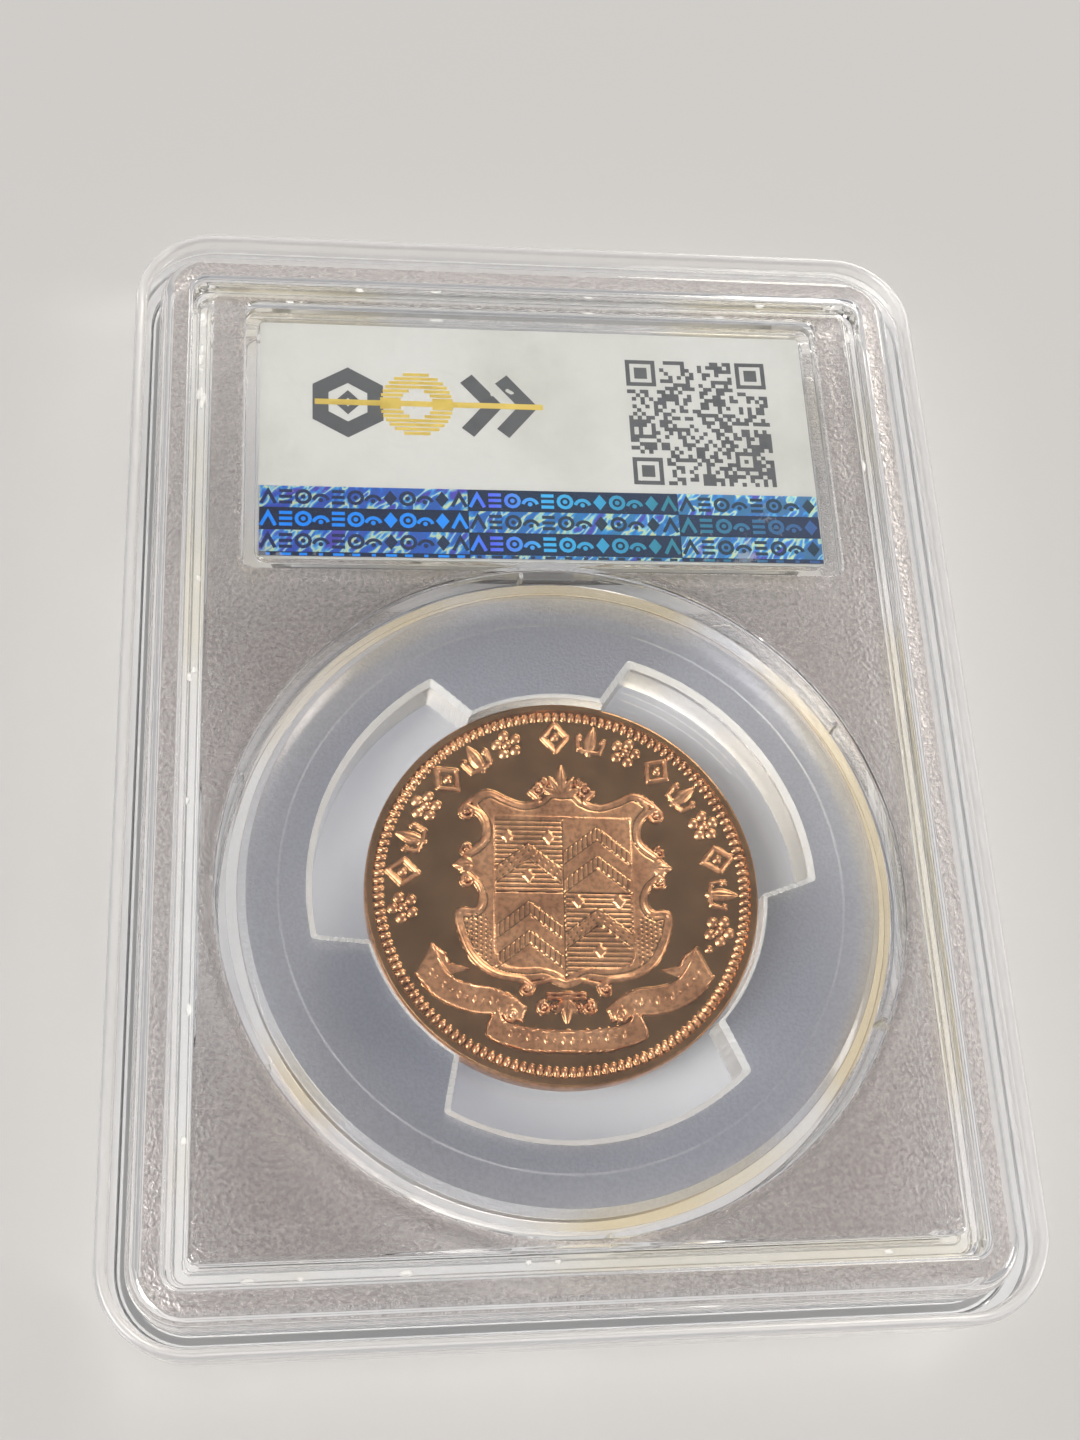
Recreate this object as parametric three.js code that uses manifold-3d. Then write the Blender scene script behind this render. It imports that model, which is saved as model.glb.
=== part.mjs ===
// Graded coin slab: a welded clear case that holds a token in an insert ring, and a label with a hologram.
// Millimetres. The slab lies on its front face, +Z is out of the rear face, +Y is towards the label's end,
// and the origin is the middle of the plane that it rests on.
import * as THREE from 'three';
import { mergeVertices } from 'three/addons/utils/BufferGeometryUtils.js';
import Module from 'manifold-3d';

const wasm = await Module();
wasm.setup();

// Case
const WIDTH = 63.5;
const LENGTH = 85.7;
const THICKNESS = 8;
const CORNER_RADIUS = 6.3;
const CORNER_TAPER = 1.15; // corner radius lost per millimetre of inset from the outline
const MIN_CORNER_RADIUS = 0.5;
const CORNER_STEPS = 6;
const WALL = 1.3; // thickness of the two window walls
const PARTING_Z = 4;
const SEAM_GAP = 0.1; // between the two halves all the way round

// Stacking features, as insets from the outline. The front's ridge drops into the moat of the slab below.
const MOAT_DEPTH = 1; // below the rear plateau, and below the lip that runs round the outline
const LIP_WIDTH = 0.8;
const MOAT_INNER = 2;
const PLATEAU_EDGE = 3;
const RIDGE_HEIGHT = 1.05;
const NEST_CLEARANCE = 0.15;
const EDGE_RADIUS = 0.3;
const FILLET_STEPS = 4;

// Weld, as insets from the outline
const SKIRT_WALL = 1.9;
const GROOVE_OUTER = 4.2;
const GROOVE_INNER = 6.1;
const GROOVE_DEPTH = 0.2;
const WELD_OUTER = 4.3;
const WELD_INNER = 6;
const TONGUE_WIDTH = 0.6;
const TONGUE_LENGTH = 0.85;
const TONGUE_GAP = 0.15;

// Coin pocket and insert
const POCKET_Y = -11.75;
const POCKET_RADIUS = 24.75;
const POCKET_WALL = 0.85;
const WINDOW_RECESS = 0.15;
const RIB_ANGLES = [30, 95, 160, 211, 274, 335];
const RIB_WIDTH = 0.3;
const RIB_REACH = 0.5;
const RIB_DROP = 2.1;
const ROUND_STEPS = 72;
const RING_RADIUS = 24;
const RING_FACE_RADIUS = 22.6;
const RING_CHAMFER = 0.55;
const RING_STEP_RADIUS = 20.4;
const RING_STEP = 0.1;
const RING_CLEARANCE = 0.15;
const PAD_RADIUS = 14.5;
const OPENING_RADIUS = 18;
const PAD_ANGLE = 50; // at the openings' radius; each pad narrows towards the coin
const PAD_TAPER = 6;
const FIRST_PAD = 96;
const PAD_COUNT = 3;

// Coin
const COIN_RADIUS = 14.3;
const COIN_THICKNESS = 2;
const COIN_RIM = 1.1;
const COIN_FIELD_DEPTH = 0.25;
const COIN_BEVEL = 0.2;

// Label
const LABEL_Y = 24.5;
const LABEL_WIDTH = 44.1;
const LABEL_HEIGHT = 21.1;
const LABEL_THICKNESS = 0.35;
const LABEL_CLEARANCE = 0.2;
const LABEL_WINDOW_WIDTH = 46.5;
const LABEL_WINDOW_HEIGHT = 23.9;
const LABEL_WINDOW_RADIUS = 1;
const LABEL_RIB_DROP = 1.1;
const LABEL_REST_INSET = 0.8;
const LABEL_REST_WALL = 1;
const STRIP_WIDTH = 43.9;
const STRIP_HEIGHT = 6;
const STRIP_EDGE = 0.2; // from the card's lower edge
const STRIP_THICKNESS = 0.08;
const STRIP_GAP = 0.02;

const rearInnerZ = THICKNESS - WALL;
const frontInnerZ = RIDGE_HEIGHT + WALL;
const cavityMidZ = (rearInnerZ + frontInnerZ) / 2;
const rearPartingZ = PARTING_Z + SEAM_GAP / 2;
const frontPartingZ = PARTING_Z - SEAM_GAP / 2;
const labelTopZ = rearInnerZ - LABEL_CLEARANCE;
const MERGE = 1e-3;
const OVERLAP = 0.05; // how far added walls run into the wall that they stand on

function toSolid(geometry) {
  const bare = geometry.clone();
  bare.deleteAttribute('normal');
  bare.deleteAttribute('uv');
  const merged = mergeVertices(bare, MERGE);
  const triVerts = new Uint32Array(merged.index.array);
  const vertProperties = new Float32Array(merged.attributes.position.array);
  return new wasm.Manifold(new wasm.Mesh({ numProp: 3, vertProperties, triVerts }));
}

function toGeometry(solid) {
  const mesh = solid.getMesh();
  const geometry = new THREE.BufferGeometry();
  geometry.setAttribute('position', new THREE.BufferAttribute(mesh.vertProperties, 3));
  geometry.setIndex(new THREE.BufferAttribute(mesh.triVerts, 1));
  const faceted = geometry.toNonIndexed();
  faceted.computeVertexNormals();
  return faceted;
}

// Points of the case's rounded outline, anticlockwise from +Z, moved in by an inset.
function outline(inset) {
  const radius = Math.max(CORNER_RADIUS - CORNER_TAPER * inset, MIN_CORNER_RADIUS);
  const x = WIDTH / 2 - inset - radius;
  const y = LENGTH / 2 - inset - radius;
  const centres = [[x, y], [-x, y], [-x, -y], [x, -y]];
  return centres.flatMap(([cx, cy], corner) =>
    Array.from({ length: CORNER_STEPS + 1 }, (_, i) => {
      const angle = (corner + i / CORNER_STEPS) * Math.PI / 2;
      return [cx + radius * Math.cos(angle), cy + radius * Math.sin(angle)];
    }));
}

// A closed body whose section, a list of [inset, z], runs round the case's outline. It starts at a face that
// looks up and ends at a face that looks down.
function sweepRound(section) {
  const rings = section.map(([inset, z]) => outline(inset).map(([x, y]) => [x, y, z]));
  const count = rings[0].length;
  const position = rings.flat(2);
  const index = [];
  for (let k = 0; k < rings.length - 1; k += 1) {
    for (let i = 0; i < count; i += 1) {
      const a = k * count + i;
      const b = k * count + (i + 1) % count;
      index.push(a, a + count, b + count, a, b + count, b);
    }
  }
  const last = (rings.length - 1) * count;
  for (let i = 1; i < count - 1; i += 1) {
    index.push(0, i, i + 1, last, last + i + 1, last + i);
  }
  const geometry = new THREE.BufferGeometry();
  geometry.setAttribute('position', new THREE.Float32BufferAttribute(position, 3));
  geometry.setIndex(index);
  return geometry;
}

function arc(inset, z, radius, from, to) {
  return Array.from({ length: FILLET_STEPS + 1 }, (_, i) => {
    const angle = THREE.MathUtils.degToRad(from + (to - from) * i / FILLET_STEPS);
    return [inset + radius * Math.cos(angle), z + radius * Math.sin(angle)];
  });
}

// The rounded slope between the moat's floor and the plateau, from its foot up, as [inset, height].
function slope(shift, height) {
  const run = PLATEAU_EDGE - MOAT_INNER;
  return Array.from({ length: FILLET_STEPS + 1 }, (_, i) => {
    const angle = i / FILLET_STEPS * Math.PI / 2;
    return [MOAT_INNER - shift + run * (1 - Math.cos(angle)), height * Math.sin(angle)];
  });
}

function rearSection() {
  const moatZ = THICKNESS - MOAT_DEPTH;
  const grooveZ = THICKNESS - GROOVE_DEPTH;
  const channelZ = moatZ - WALL;
  const lipRadius = LIP_WIDTH / 2;
  const tongueMid = (WELD_OUTER + WELD_INNER) / 2;
  const tongueOuter = tongueMid - TONGUE_WIDTH / 2;
  const tongueInner = tongueMid + TONGUE_WIDTH / 2;
  const tongueZ = rearPartingZ - TONGUE_LENGTH;
  return [
    [GROOVE_INNER, THICKNESS],
    [GROOVE_INNER - GROOVE_DEPTH, grooveZ],
    [GROOVE_OUTER + GROOVE_DEPTH, grooveZ],
    [GROOVE_OUTER, THICKNESS],
    ...slope(0, MOAT_DEPTH).map(([inset, rise]) => [inset, moatZ + rise]).reverse(),
    [LIP_WIDTH, moatZ],
    ...arc(lipRadius, THICKNESS - lipRadius, lipRadius, 0, 180),
    [0, rearPartingZ],
    [SKIRT_WALL, rearPartingZ],
    [SKIRT_WALL, channelZ],
    [SKIRT_WALL + MOAT_DEPTH, rearInnerZ],
    [WELD_OUTER, rearInnerZ],
    [WELD_OUTER, rearPartingZ],
    [tongueOuter, rearPartingZ],
    [tongueOuter, tongueZ],
    [tongueInner, tongueZ],
    [tongueInner, rearPartingZ],
    [WELD_INNER, rearPartingZ],
    [WELD_INNER, rearInnerZ],
  ];
}

function frontSection() {
  const grooveZ = RIDGE_HEIGHT + GROOVE_DEPTH;
  const ridgeOuter = LIP_WIDTH + NEST_CLEARANCE;
  const slotMid = (WELD_OUTER + WELD_INNER) / 2;
  const slotOuter = slotMid - TONGUE_WIDTH / 2 - TONGUE_GAP;
  const slotInner = slotMid + TONGUE_WIDTH / 2 + TONGUE_GAP;
  const slotZ = frontPartingZ - TONGUE_LENGTH - TONGUE_GAP;
  return [
    [WELD_INNER, frontInnerZ],
    [WELD_INNER, frontPartingZ],
    [slotInner, frontPartingZ],
    [slotInner, slotZ],
    [slotOuter, slotZ],
    [slotOuter, frontPartingZ],
    [WELD_OUTER, frontPartingZ],
    [WELD_OUTER, frontInnerZ],
    [SKIRT_WALL + RIDGE_HEIGHT, frontInnerZ],
    [SKIRT_WALL, WALL],
    [SKIRT_WALL, frontPartingZ],
    [0, frontPartingZ],
    ...arc(EDGE_RADIUS, RIDGE_HEIGHT + EDGE_RADIUS, EDGE_RADIUS, 180, 270),
    [ridgeOuter, RIDGE_HEIGHT],
    [ridgeOuter, NEST_CLEARANCE],
    [ridgeOuter + NEST_CLEARANCE, 0],
    ...slope(NEST_CLEARANCE, RIDGE_HEIGHT),
    [GROOVE_OUTER, RIDGE_HEIGHT],
    [GROOVE_OUTER + GROOVE_DEPTH, grooveZ],
    [GROOVE_INNER - GROOVE_DEPTH, grooveZ],
    [GROOVE_INNER, RIDGE_HEIGHT],
  ];
}

// A body of revolution round the pocket's axis from a closed profile of [radius, z], anticlockwise.
function turned(profile) {
  const points = profile.map(([radius, z]) => new THREE.Vector2(radius, z));
  const geometry = new THREE.LatheGeometry(points, ROUND_STEPS);
  geometry.rotateX(Math.PI / 2);
  return toSolid(geometry).translate(0, POCKET_Y, 0);
}

function hoop(inner, outer, low, high) {
  return turned([[inner, low], [outer, low], [outer, high], [inner, high], [inner, low]]);
}

function roundedRectangle(width, height, radius) {
  const x = width / 2;
  const y = height / 2;
  const shape = new THREE.Shape();
  shape.moveTo(-x + radius, -y);
  shape.lineTo(x - radius, -y);
  shape.absarc(x - radius, -y + radius, radius, -Math.PI / 2, 0);
  shape.lineTo(x, y - radius);
  shape.absarc(x - radius, y - radius, radius, 0, Math.PI / 2);
  shape.lineTo(-x + radius, y);
  shape.absarc(-x + radius, y - radius, radius, Math.PI / 2, Math.PI);
  shape.lineTo(-x, -y + radius);
  shape.absarc(-x + radius, -y + radius, radius, Math.PI, 1.5 * Math.PI);
  return shape;
}

function raised(shape, low, high) {
  const geometry = new THREE.ExtrudeGeometry(shape, {
    depth: high - low,
    bevelEnabled: false,
    curveSegments: CORNER_STEPS,
  });
  return toSolid(geometry.translate(0, 0, low));
}

function plate(width, height, radius, y, low, high) {
  return raised(roundedRectangle(width, height, radius), low, high).translate(0, y, 0);
}

function frameWall(width, height, wall, y, low, high) {
  const outer = plate(width, height, LABEL_WINDOW_RADIUS, y, low, high);
  const inner = plate(width - 2 * wall, height - 2 * wall, MIN_CORNER_RADIUS, y, low - 1, high + 1);
  return outer.subtract(inner);
}

// A thin upright rib on the pocket's wall that keeps the insert central.
function pocketRib(angle) {
  const length = RIB_REACH + OVERLAP;
  const box = new THREE.BoxGeometry(length, RIB_WIDTH, RIB_DROP + OVERLAP);
  box.translate(POCKET_RADIUS + OVERLAP - length / 2, 0, rearInnerZ + OVERLAP - (RIB_DROP + OVERLAP) / 2);
  box.rotateZ(THREE.MathUtils.degToRad(angle));
  return toSolid(box).translate(0, POCKET_Y, 0);
}

function windowCuts(low, high) {
  const disc = turned([[0, low], [POCKET_RADIUS, low], [POCKET_RADIUS, high], [0, high]]);
  return disc.add(plate(LABEL_WINDOW_WIDTH, LABEL_WINDOW_HEIGHT, LABEL_WINDOW_RADIUS, LABEL_Y, low, high));
}

function rearShell() {
  let shell = toSolid(sweepRound(rearSection()));
  shell = shell.add(hoop(POCKET_RADIUS, POCKET_RADIUS + POCKET_WALL, rearPartingZ, rearInnerZ + OVERLAP));
  const ribWall = (LABEL_WINDOW_WIDTH - LABEL_WIDTH) / 2 - LABEL_CLEARANCE;
  const ribHeight = LABEL_HEIGHT + 2 * (LABEL_CLEARANCE + ribWall);
  const labelRib = frameWall(LABEL_WINDOW_WIDTH, ribHeight, ribWall, LABEL_Y,
    rearInnerZ - LABEL_RIB_DROP, rearInnerZ + OVERLAP);
  const ringSpace = turned([[0, 0], [POCKET_RADIUS, 0], [POCKET_RADIUS, rearInnerZ], [0, rearInnerZ]]);
  shell = shell.add(labelRib.subtract(ringSpace));
  for (const angle of RIB_ANGLES) shell = shell.add(pocketRib(angle));
  return shell.subtract(windowCuts(THICKNESS - WINDOW_RECESS, THICKNESS + 1));
}

function frontShell() {
  let shell = toSolid(sweepRound(frontSection()));
  shell = shell.add(hoop(POCKET_RADIUS, POCKET_RADIUS + POCKET_WALL, frontInnerZ - OVERLAP, frontPartingZ));
  const restTop = labelTopZ - LABEL_THICKNESS - SEAM_GAP;
  shell = shell.add(frameWall(LABEL_WIDTH - 2 * LABEL_REST_INSET, LABEL_HEIGHT - 2 * LABEL_REST_INSET,
    LABEL_REST_WALL, LABEL_Y, frontInnerZ - OVERLAP, restTop));
  return shell.subtract(windowCuts(0, RIDGE_HEIGHT + WINDOW_RECESS));
}

// One of the insert's openings, between two pads. Its ends lean so that the pads narrow towards the coin.
function ringOpening(index) {
  const pitch = 360 / PAD_COUNT;
  const start = THREE.MathUtils.degToRad(FIRST_PAD + index * pitch + PAD_ANGLE / 2);
  const end = THREE.MathUtils.degToRad(FIRST_PAD + (index + 1) * pitch - PAD_ANGLE / 2);
  const lean = THREE.MathUtils.degToRad(PAD_TAPER);
  const reach = PAD_RADIUS - 1;
  const shape = new THREE.Shape();
  shape.absarc(0, 0, OPENING_RADIUS, start, end);
  shape.lineTo(reach * Math.cos(end + lean), reach * Math.sin(end + lean));
  shape.absarc(0, 0, reach / 2, end, start, true);
  shape.lineTo(reach * Math.cos(start - lean), reach * Math.sin(start - lean));
  const cut = raised(shape, 0, THICKNESS);
  return cut.translate(0, POCKET_Y, 0);
}

function coinRing() {
  const low = frontInnerZ + RING_CLEARANCE;
  const high = rearInnerZ - RING_CLEARANCE;
  const flange = RING_FACE_RADIUS + RING_CHAMFER;
  let ring = turned([
    [PAD_RADIUS, low],
    [RING_FACE_RADIUS, low],
    [flange, low + RING_CHAMFER],
    [RING_RADIUS, low + RING_CHAMFER],
    [RING_RADIUS, high - RING_CHAMFER],
    [flange, high - RING_CHAMFER],
    [RING_FACE_RADIUS, high],
    [RING_STEP_RADIUS, high],
    [RING_STEP_RADIUS - RING_STEP, high - RING_STEP],
    [PAD_RADIUS, high - RING_STEP],
    [PAD_RADIUS, low],
  ]);
  for (let i = 0; i < PAD_COUNT; i += 1) ring = ring.subtract(ringOpening(i));
  return ring;
}

function coin() {
  const low = cavityMidZ - COIN_THICKNESS / 2;
  const high = cavityMidZ + COIN_THICKNESS / 2;
  const rim = COIN_RADIUS - COIN_RIM;
  return turned([
    [0, low + COIN_FIELD_DEPTH],
    [rim - COIN_BEVEL, low + COIN_FIELD_DEPTH],
    [rim, low],
    [COIN_RADIUS - COIN_BEVEL, low],
    [COIN_RADIUS, low + COIN_BEVEL],
    [COIN_RADIUS, high - COIN_BEVEL],
    [COIN_RADIUS - COIN_BEVEL, high],
    [rim, high],
    [rim - COIN_BEVEL, high - COIN_FIELD_DEPTH],
    [0, high - COIN_FIELD_DEPTH],
  ]);
}

function labelCard() {
  return plate(LABEL_WIDTH, LABEL_HEIGHT, MIN_CORNER_RADIUS, LABEL_Y, labelTopZ - LABEL_THICKNESS, labelTopZ);
}

function hologramStrip() {
  const y = LABEL_Y - LABEL_HEIGHT / 2 + STRIP_EDGE + STRIP_HEIGHT / 2;
  const low = labelTopZ + STRIP_GAP;
  return plate(STRIP_WIDTH, STRIP_HEIGHT, STRIP_EDGE, y, low, low + STRIP_THICKNESS);
}

function part(name, solid, material) {
  const mesh = new THREE.Mesh(toGeometry(solid), new THREE.MeshStandardMaterial(material));
  mesh.name = name;
  return mesh;
}

const clear = { color: 0xe9eef0, roughness: 0.08, metalness: 0, transparent: true, opacity: 0.3 };
const frosted = { color: 0xb9c4cc, roughness: 0.5, metalness: 0, transparent: true, opacity: 0.7 };
const slab = new THREE.Group();
slab.add(
  part('front_shell', frontShell(), clear),
  part('rear_shell', rearShell(), clear),
  part('coin_ring', coinRing(), frosted),
  part('coin', coin(), { color: 0xb4683c, roughness: 0.3, metalness: 1 }),
  part('label_card', labelCard(), { color: 0xe6e7e2, roughness: 0.85, metalness: 0 }),
  part('hologram_strip', hologramStrip(), { color: 0x3f7fe0, roughness: 0.25, metalness: 0.8 }),
);

export default slab;
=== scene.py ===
"""The looks of the graded coin slab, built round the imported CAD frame. Shapes are made in millimetres, in
the frame's own axes, and scaled to metres when they are finished."""
import math

import bmesh
import bpy
import numpy as np
from mathutils import Matrix, Vector

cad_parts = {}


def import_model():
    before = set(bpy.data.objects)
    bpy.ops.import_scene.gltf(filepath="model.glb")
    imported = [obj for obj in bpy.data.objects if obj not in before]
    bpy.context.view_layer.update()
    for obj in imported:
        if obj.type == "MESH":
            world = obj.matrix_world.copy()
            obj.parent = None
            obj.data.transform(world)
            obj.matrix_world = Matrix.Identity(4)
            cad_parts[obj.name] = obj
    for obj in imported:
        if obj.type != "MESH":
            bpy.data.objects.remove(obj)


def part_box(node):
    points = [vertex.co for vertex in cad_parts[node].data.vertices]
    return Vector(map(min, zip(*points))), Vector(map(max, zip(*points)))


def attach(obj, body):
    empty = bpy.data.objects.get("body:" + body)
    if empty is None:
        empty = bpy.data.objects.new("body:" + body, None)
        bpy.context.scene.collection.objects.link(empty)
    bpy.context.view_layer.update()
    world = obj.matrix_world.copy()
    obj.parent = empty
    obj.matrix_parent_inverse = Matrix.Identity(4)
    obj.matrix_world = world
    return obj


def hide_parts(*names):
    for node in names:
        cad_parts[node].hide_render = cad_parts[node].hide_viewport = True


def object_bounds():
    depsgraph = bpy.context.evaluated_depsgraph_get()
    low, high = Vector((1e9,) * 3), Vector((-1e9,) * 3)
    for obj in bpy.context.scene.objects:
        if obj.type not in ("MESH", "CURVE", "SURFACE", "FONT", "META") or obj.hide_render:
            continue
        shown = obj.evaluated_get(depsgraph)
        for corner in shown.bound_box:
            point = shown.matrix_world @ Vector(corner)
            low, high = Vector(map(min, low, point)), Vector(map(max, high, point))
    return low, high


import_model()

cad_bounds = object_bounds()
MM = 0.001

# ---------------------------------------------------------------- driving sizes, in millimetres
WIDTH, LENGTH, THICKNESS = ((b - a) / MM for a, b in zip(*cad_bounds))
CORNER_RADIUS, CORNER_TAPER, MIN_CORNER_RADIUS = 6.3, 1.15, 0.5
CORNER_STEPS = 14
ROUND_STEPS = 160
WALL = 1.3
PARTING_Z = 4.0
SEAM = 0.05  # from the parting plane to each half
EDGE = 0.12  # rounding of the moulded edges
EDGE_STEPS = 3
OVERLAP = 0.3  # how far joined bodies reach into each other, and cutters out of a face

# stacking features, as insets from the outline
LIP_WIDTH, MOAT_DEPTH, MOAT_INNER, PLATEAU_EDGE = 0.8, 1.0, 2.0, 3.0
RIDGE_HEIGHT, NEST_CLEARANCE = 1.05, 0.15
GROOVE_OUTER, GROOVE_INNER, GROOVE_DEPTH = 4.2, 6.1, 0.2

# weld, as insets from the outline
SKIRT_WALL, WELD_OUTER, WELD_INNER = 1.9, 4.3, 6.0
TONGUE_WIDTH, TONGUE_LENGTH, TONGUE_GAP = 0.6, 0.85, 0.15

# coin pocket and insert
POCKET_Y, POCKET_RADIUS, POCKET_WALL = -11.75, 24.75, 0.85
WINDOW_RECESS = 0.15
RIB_ANGLES = (30, 95, 160, 211, 274, 335)
RIB_WIDTH, RIB_REACH, RIB_DROP, RIB_ROOT = 0.3, 0.5, 2.1, 0.2

# witness marks of the ejector pins
EJECTOR_PLACES = ((-25.2, 0.0), (25.2, 0.0), (-24.5, -35.0), (24.5, -35.0))
EJECTOR_RADIUS, EJECTOR_DEPTH = 1.3, 0.04

# beads of weld flash: many near one corner, and a few along the rest of each side
FLASH_SEED, FLASH_MANY, FLASH_FEW = 11, 12, 6

# points that are nearer to each other than this after a join or a cut are one point
SAME_POINT = 0.0001

# label
LABEL_Y, LABEL_WIDTH, LABEL_HEIGHT = 24.5, 44.1, 21.1
LABEL_WINDOW = (46.5, 23.9)
LABEL_WINDOW_RADIUS = 1.0
LABEL_CLEARANCE, LABEL_RIB_DROP = 0.2, 1.1
LABEL_REST_INSET, LABEL_REST_WALL = 0.8, 1.0

REAR_INNER_Z = THICKNESS - WALL
FRONT_INNER_Z = RIDGE_HEIGHT + WALL


# ---------------------------------------------------------------- mesh helpers
def placed(name, data):
    """A new object in the scene."""
    made = bpy.data.objects.new(name, data)
    bpy.context.scene.collection.objects.link(made)
    return made


def polar(radius, angle, centre=(0.0, 0.0)):
    return centre[0] + radius * math.cos(angle), centre[1] + radius * math.sin(angle)


def to_object(name, verts, faces):
    mesh = bpy.data.meshes.new(name)
    mesh.from_pydata([tuple(v) for v in verts], [], faces)
    mesh.validate()
    shape = bmesh.new()
    shape.from_mesh(mesh)
    bmesh.ops.recalc_face_normals(shape, faces=shape.faces)
    shape.to_mesh(mesh)
    shape.free()
    return placed(name, mesh)


def loft(name, rings, loop=False):
    """A closed body through rings of points, all of the same count. A loop joins its last ring to its
    first."""
    count = len(rings[0])
    verts = [p for ring in rings for p in ring]
    faces = []
    steps = len(rings) if loop else len(rings) - 1
    for k in range(steps):
        a, b = k * count, (k + 1) % len(rings) * count
        for i in range(count):
            j = (i + 1) % count
            faces.append((a + i, b + i, b + j, a + j))
    if not loop:
        faces.append(tuple(range(count)))
        faces.append(tuple(range((len(rings) - 1) * count, len(rings) * count))[::-1])
    return to_object(name, verts, faces)


def softened(points, size=EDGE, closed=False, steps=EDGE_STEPS):
    """A polyline with its corners rounded, and its ends kept unless it is closed."""
    out = []
    n = len(points)
    for i, p in enumerate(points):
        if not closed and i in (0, n - 1):
            out.append(p)
            continue
        p, before, after = (Vector(q) for q in (p, points[i - 1], points[(i + 1) % n]))
        to_before, to_after = before - p, after - p
        if to_before.length < 1e-6 or to_after.length < 1e-6:
            continue
        turn = to_before.normalized().dot(to_after.normalized())
        if turn < -0.97:
            out.append(tuple(p))
            continue
        start = p + to_before.normalized() * min(size, to_before.length * 0.45)
        end = p + to_after.normalized() * min(size, to_after.length * 0.45)
        for s in range(steps + 1):
            t = s / steps
            out.append(tuple((1 - t) ** 2 * start + 2 * t * (1 - t) * p + t * t * end))
    return out


def rectangle(width, height, radius, steps, centre=(0.0, 0.0)):
    x, y = width / 2 - radius, height / 2 - radius
    points = []
    for corner, (cx, cy) in enumerate(((x, y), (-x, y), (-x, -y), (x, -y))):
        for i in range(steps + 1):
            angle = (corner + i / steps) * math.pi / 2
            points.append(polar(radius, angle, (centre[0] + cx, centre[1] + cy)))
    return points


def case_ring(inset, z):
    radius = max(CORNER_RADIUS - CORNER_TAPER * inset, MIN_CORNER_RADIUS)
    width, length = WIDTH - 2 * inset, LENGTH - 2 * inset
    return [(x, y, z) for x, y in rectangle(width, length, radius, CORNER_STEPS)]


def circle_ring(radius, z, steps=ROUND_STEPS, centre=(0.0, POCKET_Y)):
    turns = [i * 2 * math.pi / steps for i in range(steps)]
    return [(*polar(radius, a, centre), z) for a in turns]


def label_ring(width, height, radius, z):
    return [(x, y, z) for x, y in rectangle(width, height, radius, 5, (0.0, LABEL_Y))]


def merged(base, tool, operation):
    """Joins or cuts a body with another, which is used up."""
    change = base.modifiers.new("change", "BOOLEAN")
    change.operation = operation
    change.solver = "MANIFOLD"
    change.object = tool
    depsgraph = bpy.context.evaluated_depsgraph_get()
    mesh = bpy.data.meshes.new_from_object(base.evaluated_get(depsgraph))
    cleaned = bmesh.new()
    cleaned.from_mesh(mesh)
    bmesh.ops.remove_doubles(cleaned, verts=cleaned.verts, dist=SAME_POINT)
    cleaned.to_mesh(mesh)
    cleaned.free()
    base.modifiers.clear()
    base.data = mesh
    bpy.data.objects.remove(tool)
    return base


def finished(piece, body, slot, *nodes, sharp=28):
    """Scales a piece to metres, smooths it between its sharp edges, and ties it to the frame."""
    mesh = piece.data
    mesh.transform(Matrix.Scale(MM, 4))
    mesh.shade_smooth()
    mesh.set_sharp_from_angle(angle=math.radians(sharp))
    weighted = piece.modifiers.new("flat faces stay flat", "WEIGHTED_NORMAL")
    weighted.keep_sharp = True
    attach(piece, body)
    if nodes:
        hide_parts(*nodes)
    return piece


def fitted(piece, slot, materials, *nodes, sharp=28):
    """Gives a piece its materials, in the order of its faces' slots, and finishes it."""
    mesh = piece.data
    slots = np.zeros(len(mesh.polygons), np.int32)
    mesh.polygons.foreach_get("material_index", slots)
    mesh.materials.clear()
    for look in materials:
        mesh.materials.append(look)
    mesh.polygons.foreach_set("material_index", slots)
    return finished(piece, "root", slot, *nodes, sharp=sharp)


# ---------------------------------------------------------------- the two halves of the case
def arc(inset, z, radius, first, last, steps=8):
    angles = [math.radians(first + (last - first) * i / steps) for i in range(steps + 1)]
    return [polar(radius, a, (inset, z)) for a in angles]


def slope(shift, height, steps=8):
    run = PLATEAU_EDGE - MOAT_INNER
    angles = [i / steps * math.pi / 2 for i in range(steps + 1)]
    return [(MOAT_INNER - shift + run * (1 - math.cos(a)), height * math.sin(a)) for a in angles]


def rear_section():
    moat_z, parting = THICKNESS - MOAT_DEPTH, PARTING_Z + SEAM
    groove_z, lip = THICKNESS - GROOVE_DEPTH, LIP_WIDTH / 2
    middle = (WELD_OUTER + WELD_INNER) / 2
    near, far = middle - TONGUE_WIDTH / 2, middle + TONGUE_WIDTH / 2
    return softened([
        (GROOVE_INNER + 1, THICKNESS), (GROOVE_INNER, THICKNESS), (GROOVE_INNER - GROOVE_DEPTH, groove_z),
        (GROOVE_OUTER + GROOVE_DEPTH, groove_z), (GROOVE_OUTER, THICKNESS),
        *[(inset, moat_z + rise) for inset, rise in reversed(slope(0, MOAT_DEPTH))],
        (LIP_WIDTH, moat_z), *arc(lip, THICKNESS - lip, lip, 0, 180), (0, parting),
        (SKIRT_WALL, parting), (SKIRT_WALL, moat_z - WALL), (SKIRT_WALL + MOAT_DEPTH, REAR_INNER_Z),
        (WELD_OUTER, REAR_INNER_Z), (WELD_OUTER, parting), (near, parting), (near, parting - TONGUE_LENGTH),
        (far, parting - TONGUE_LENGTH), (far, parting), (WELD_INNER, parting), (WELD_INNER, REAR_INNER_Z),
        (WELD_INNER + 1, REAR_INNER_Z),
    ])


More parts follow.
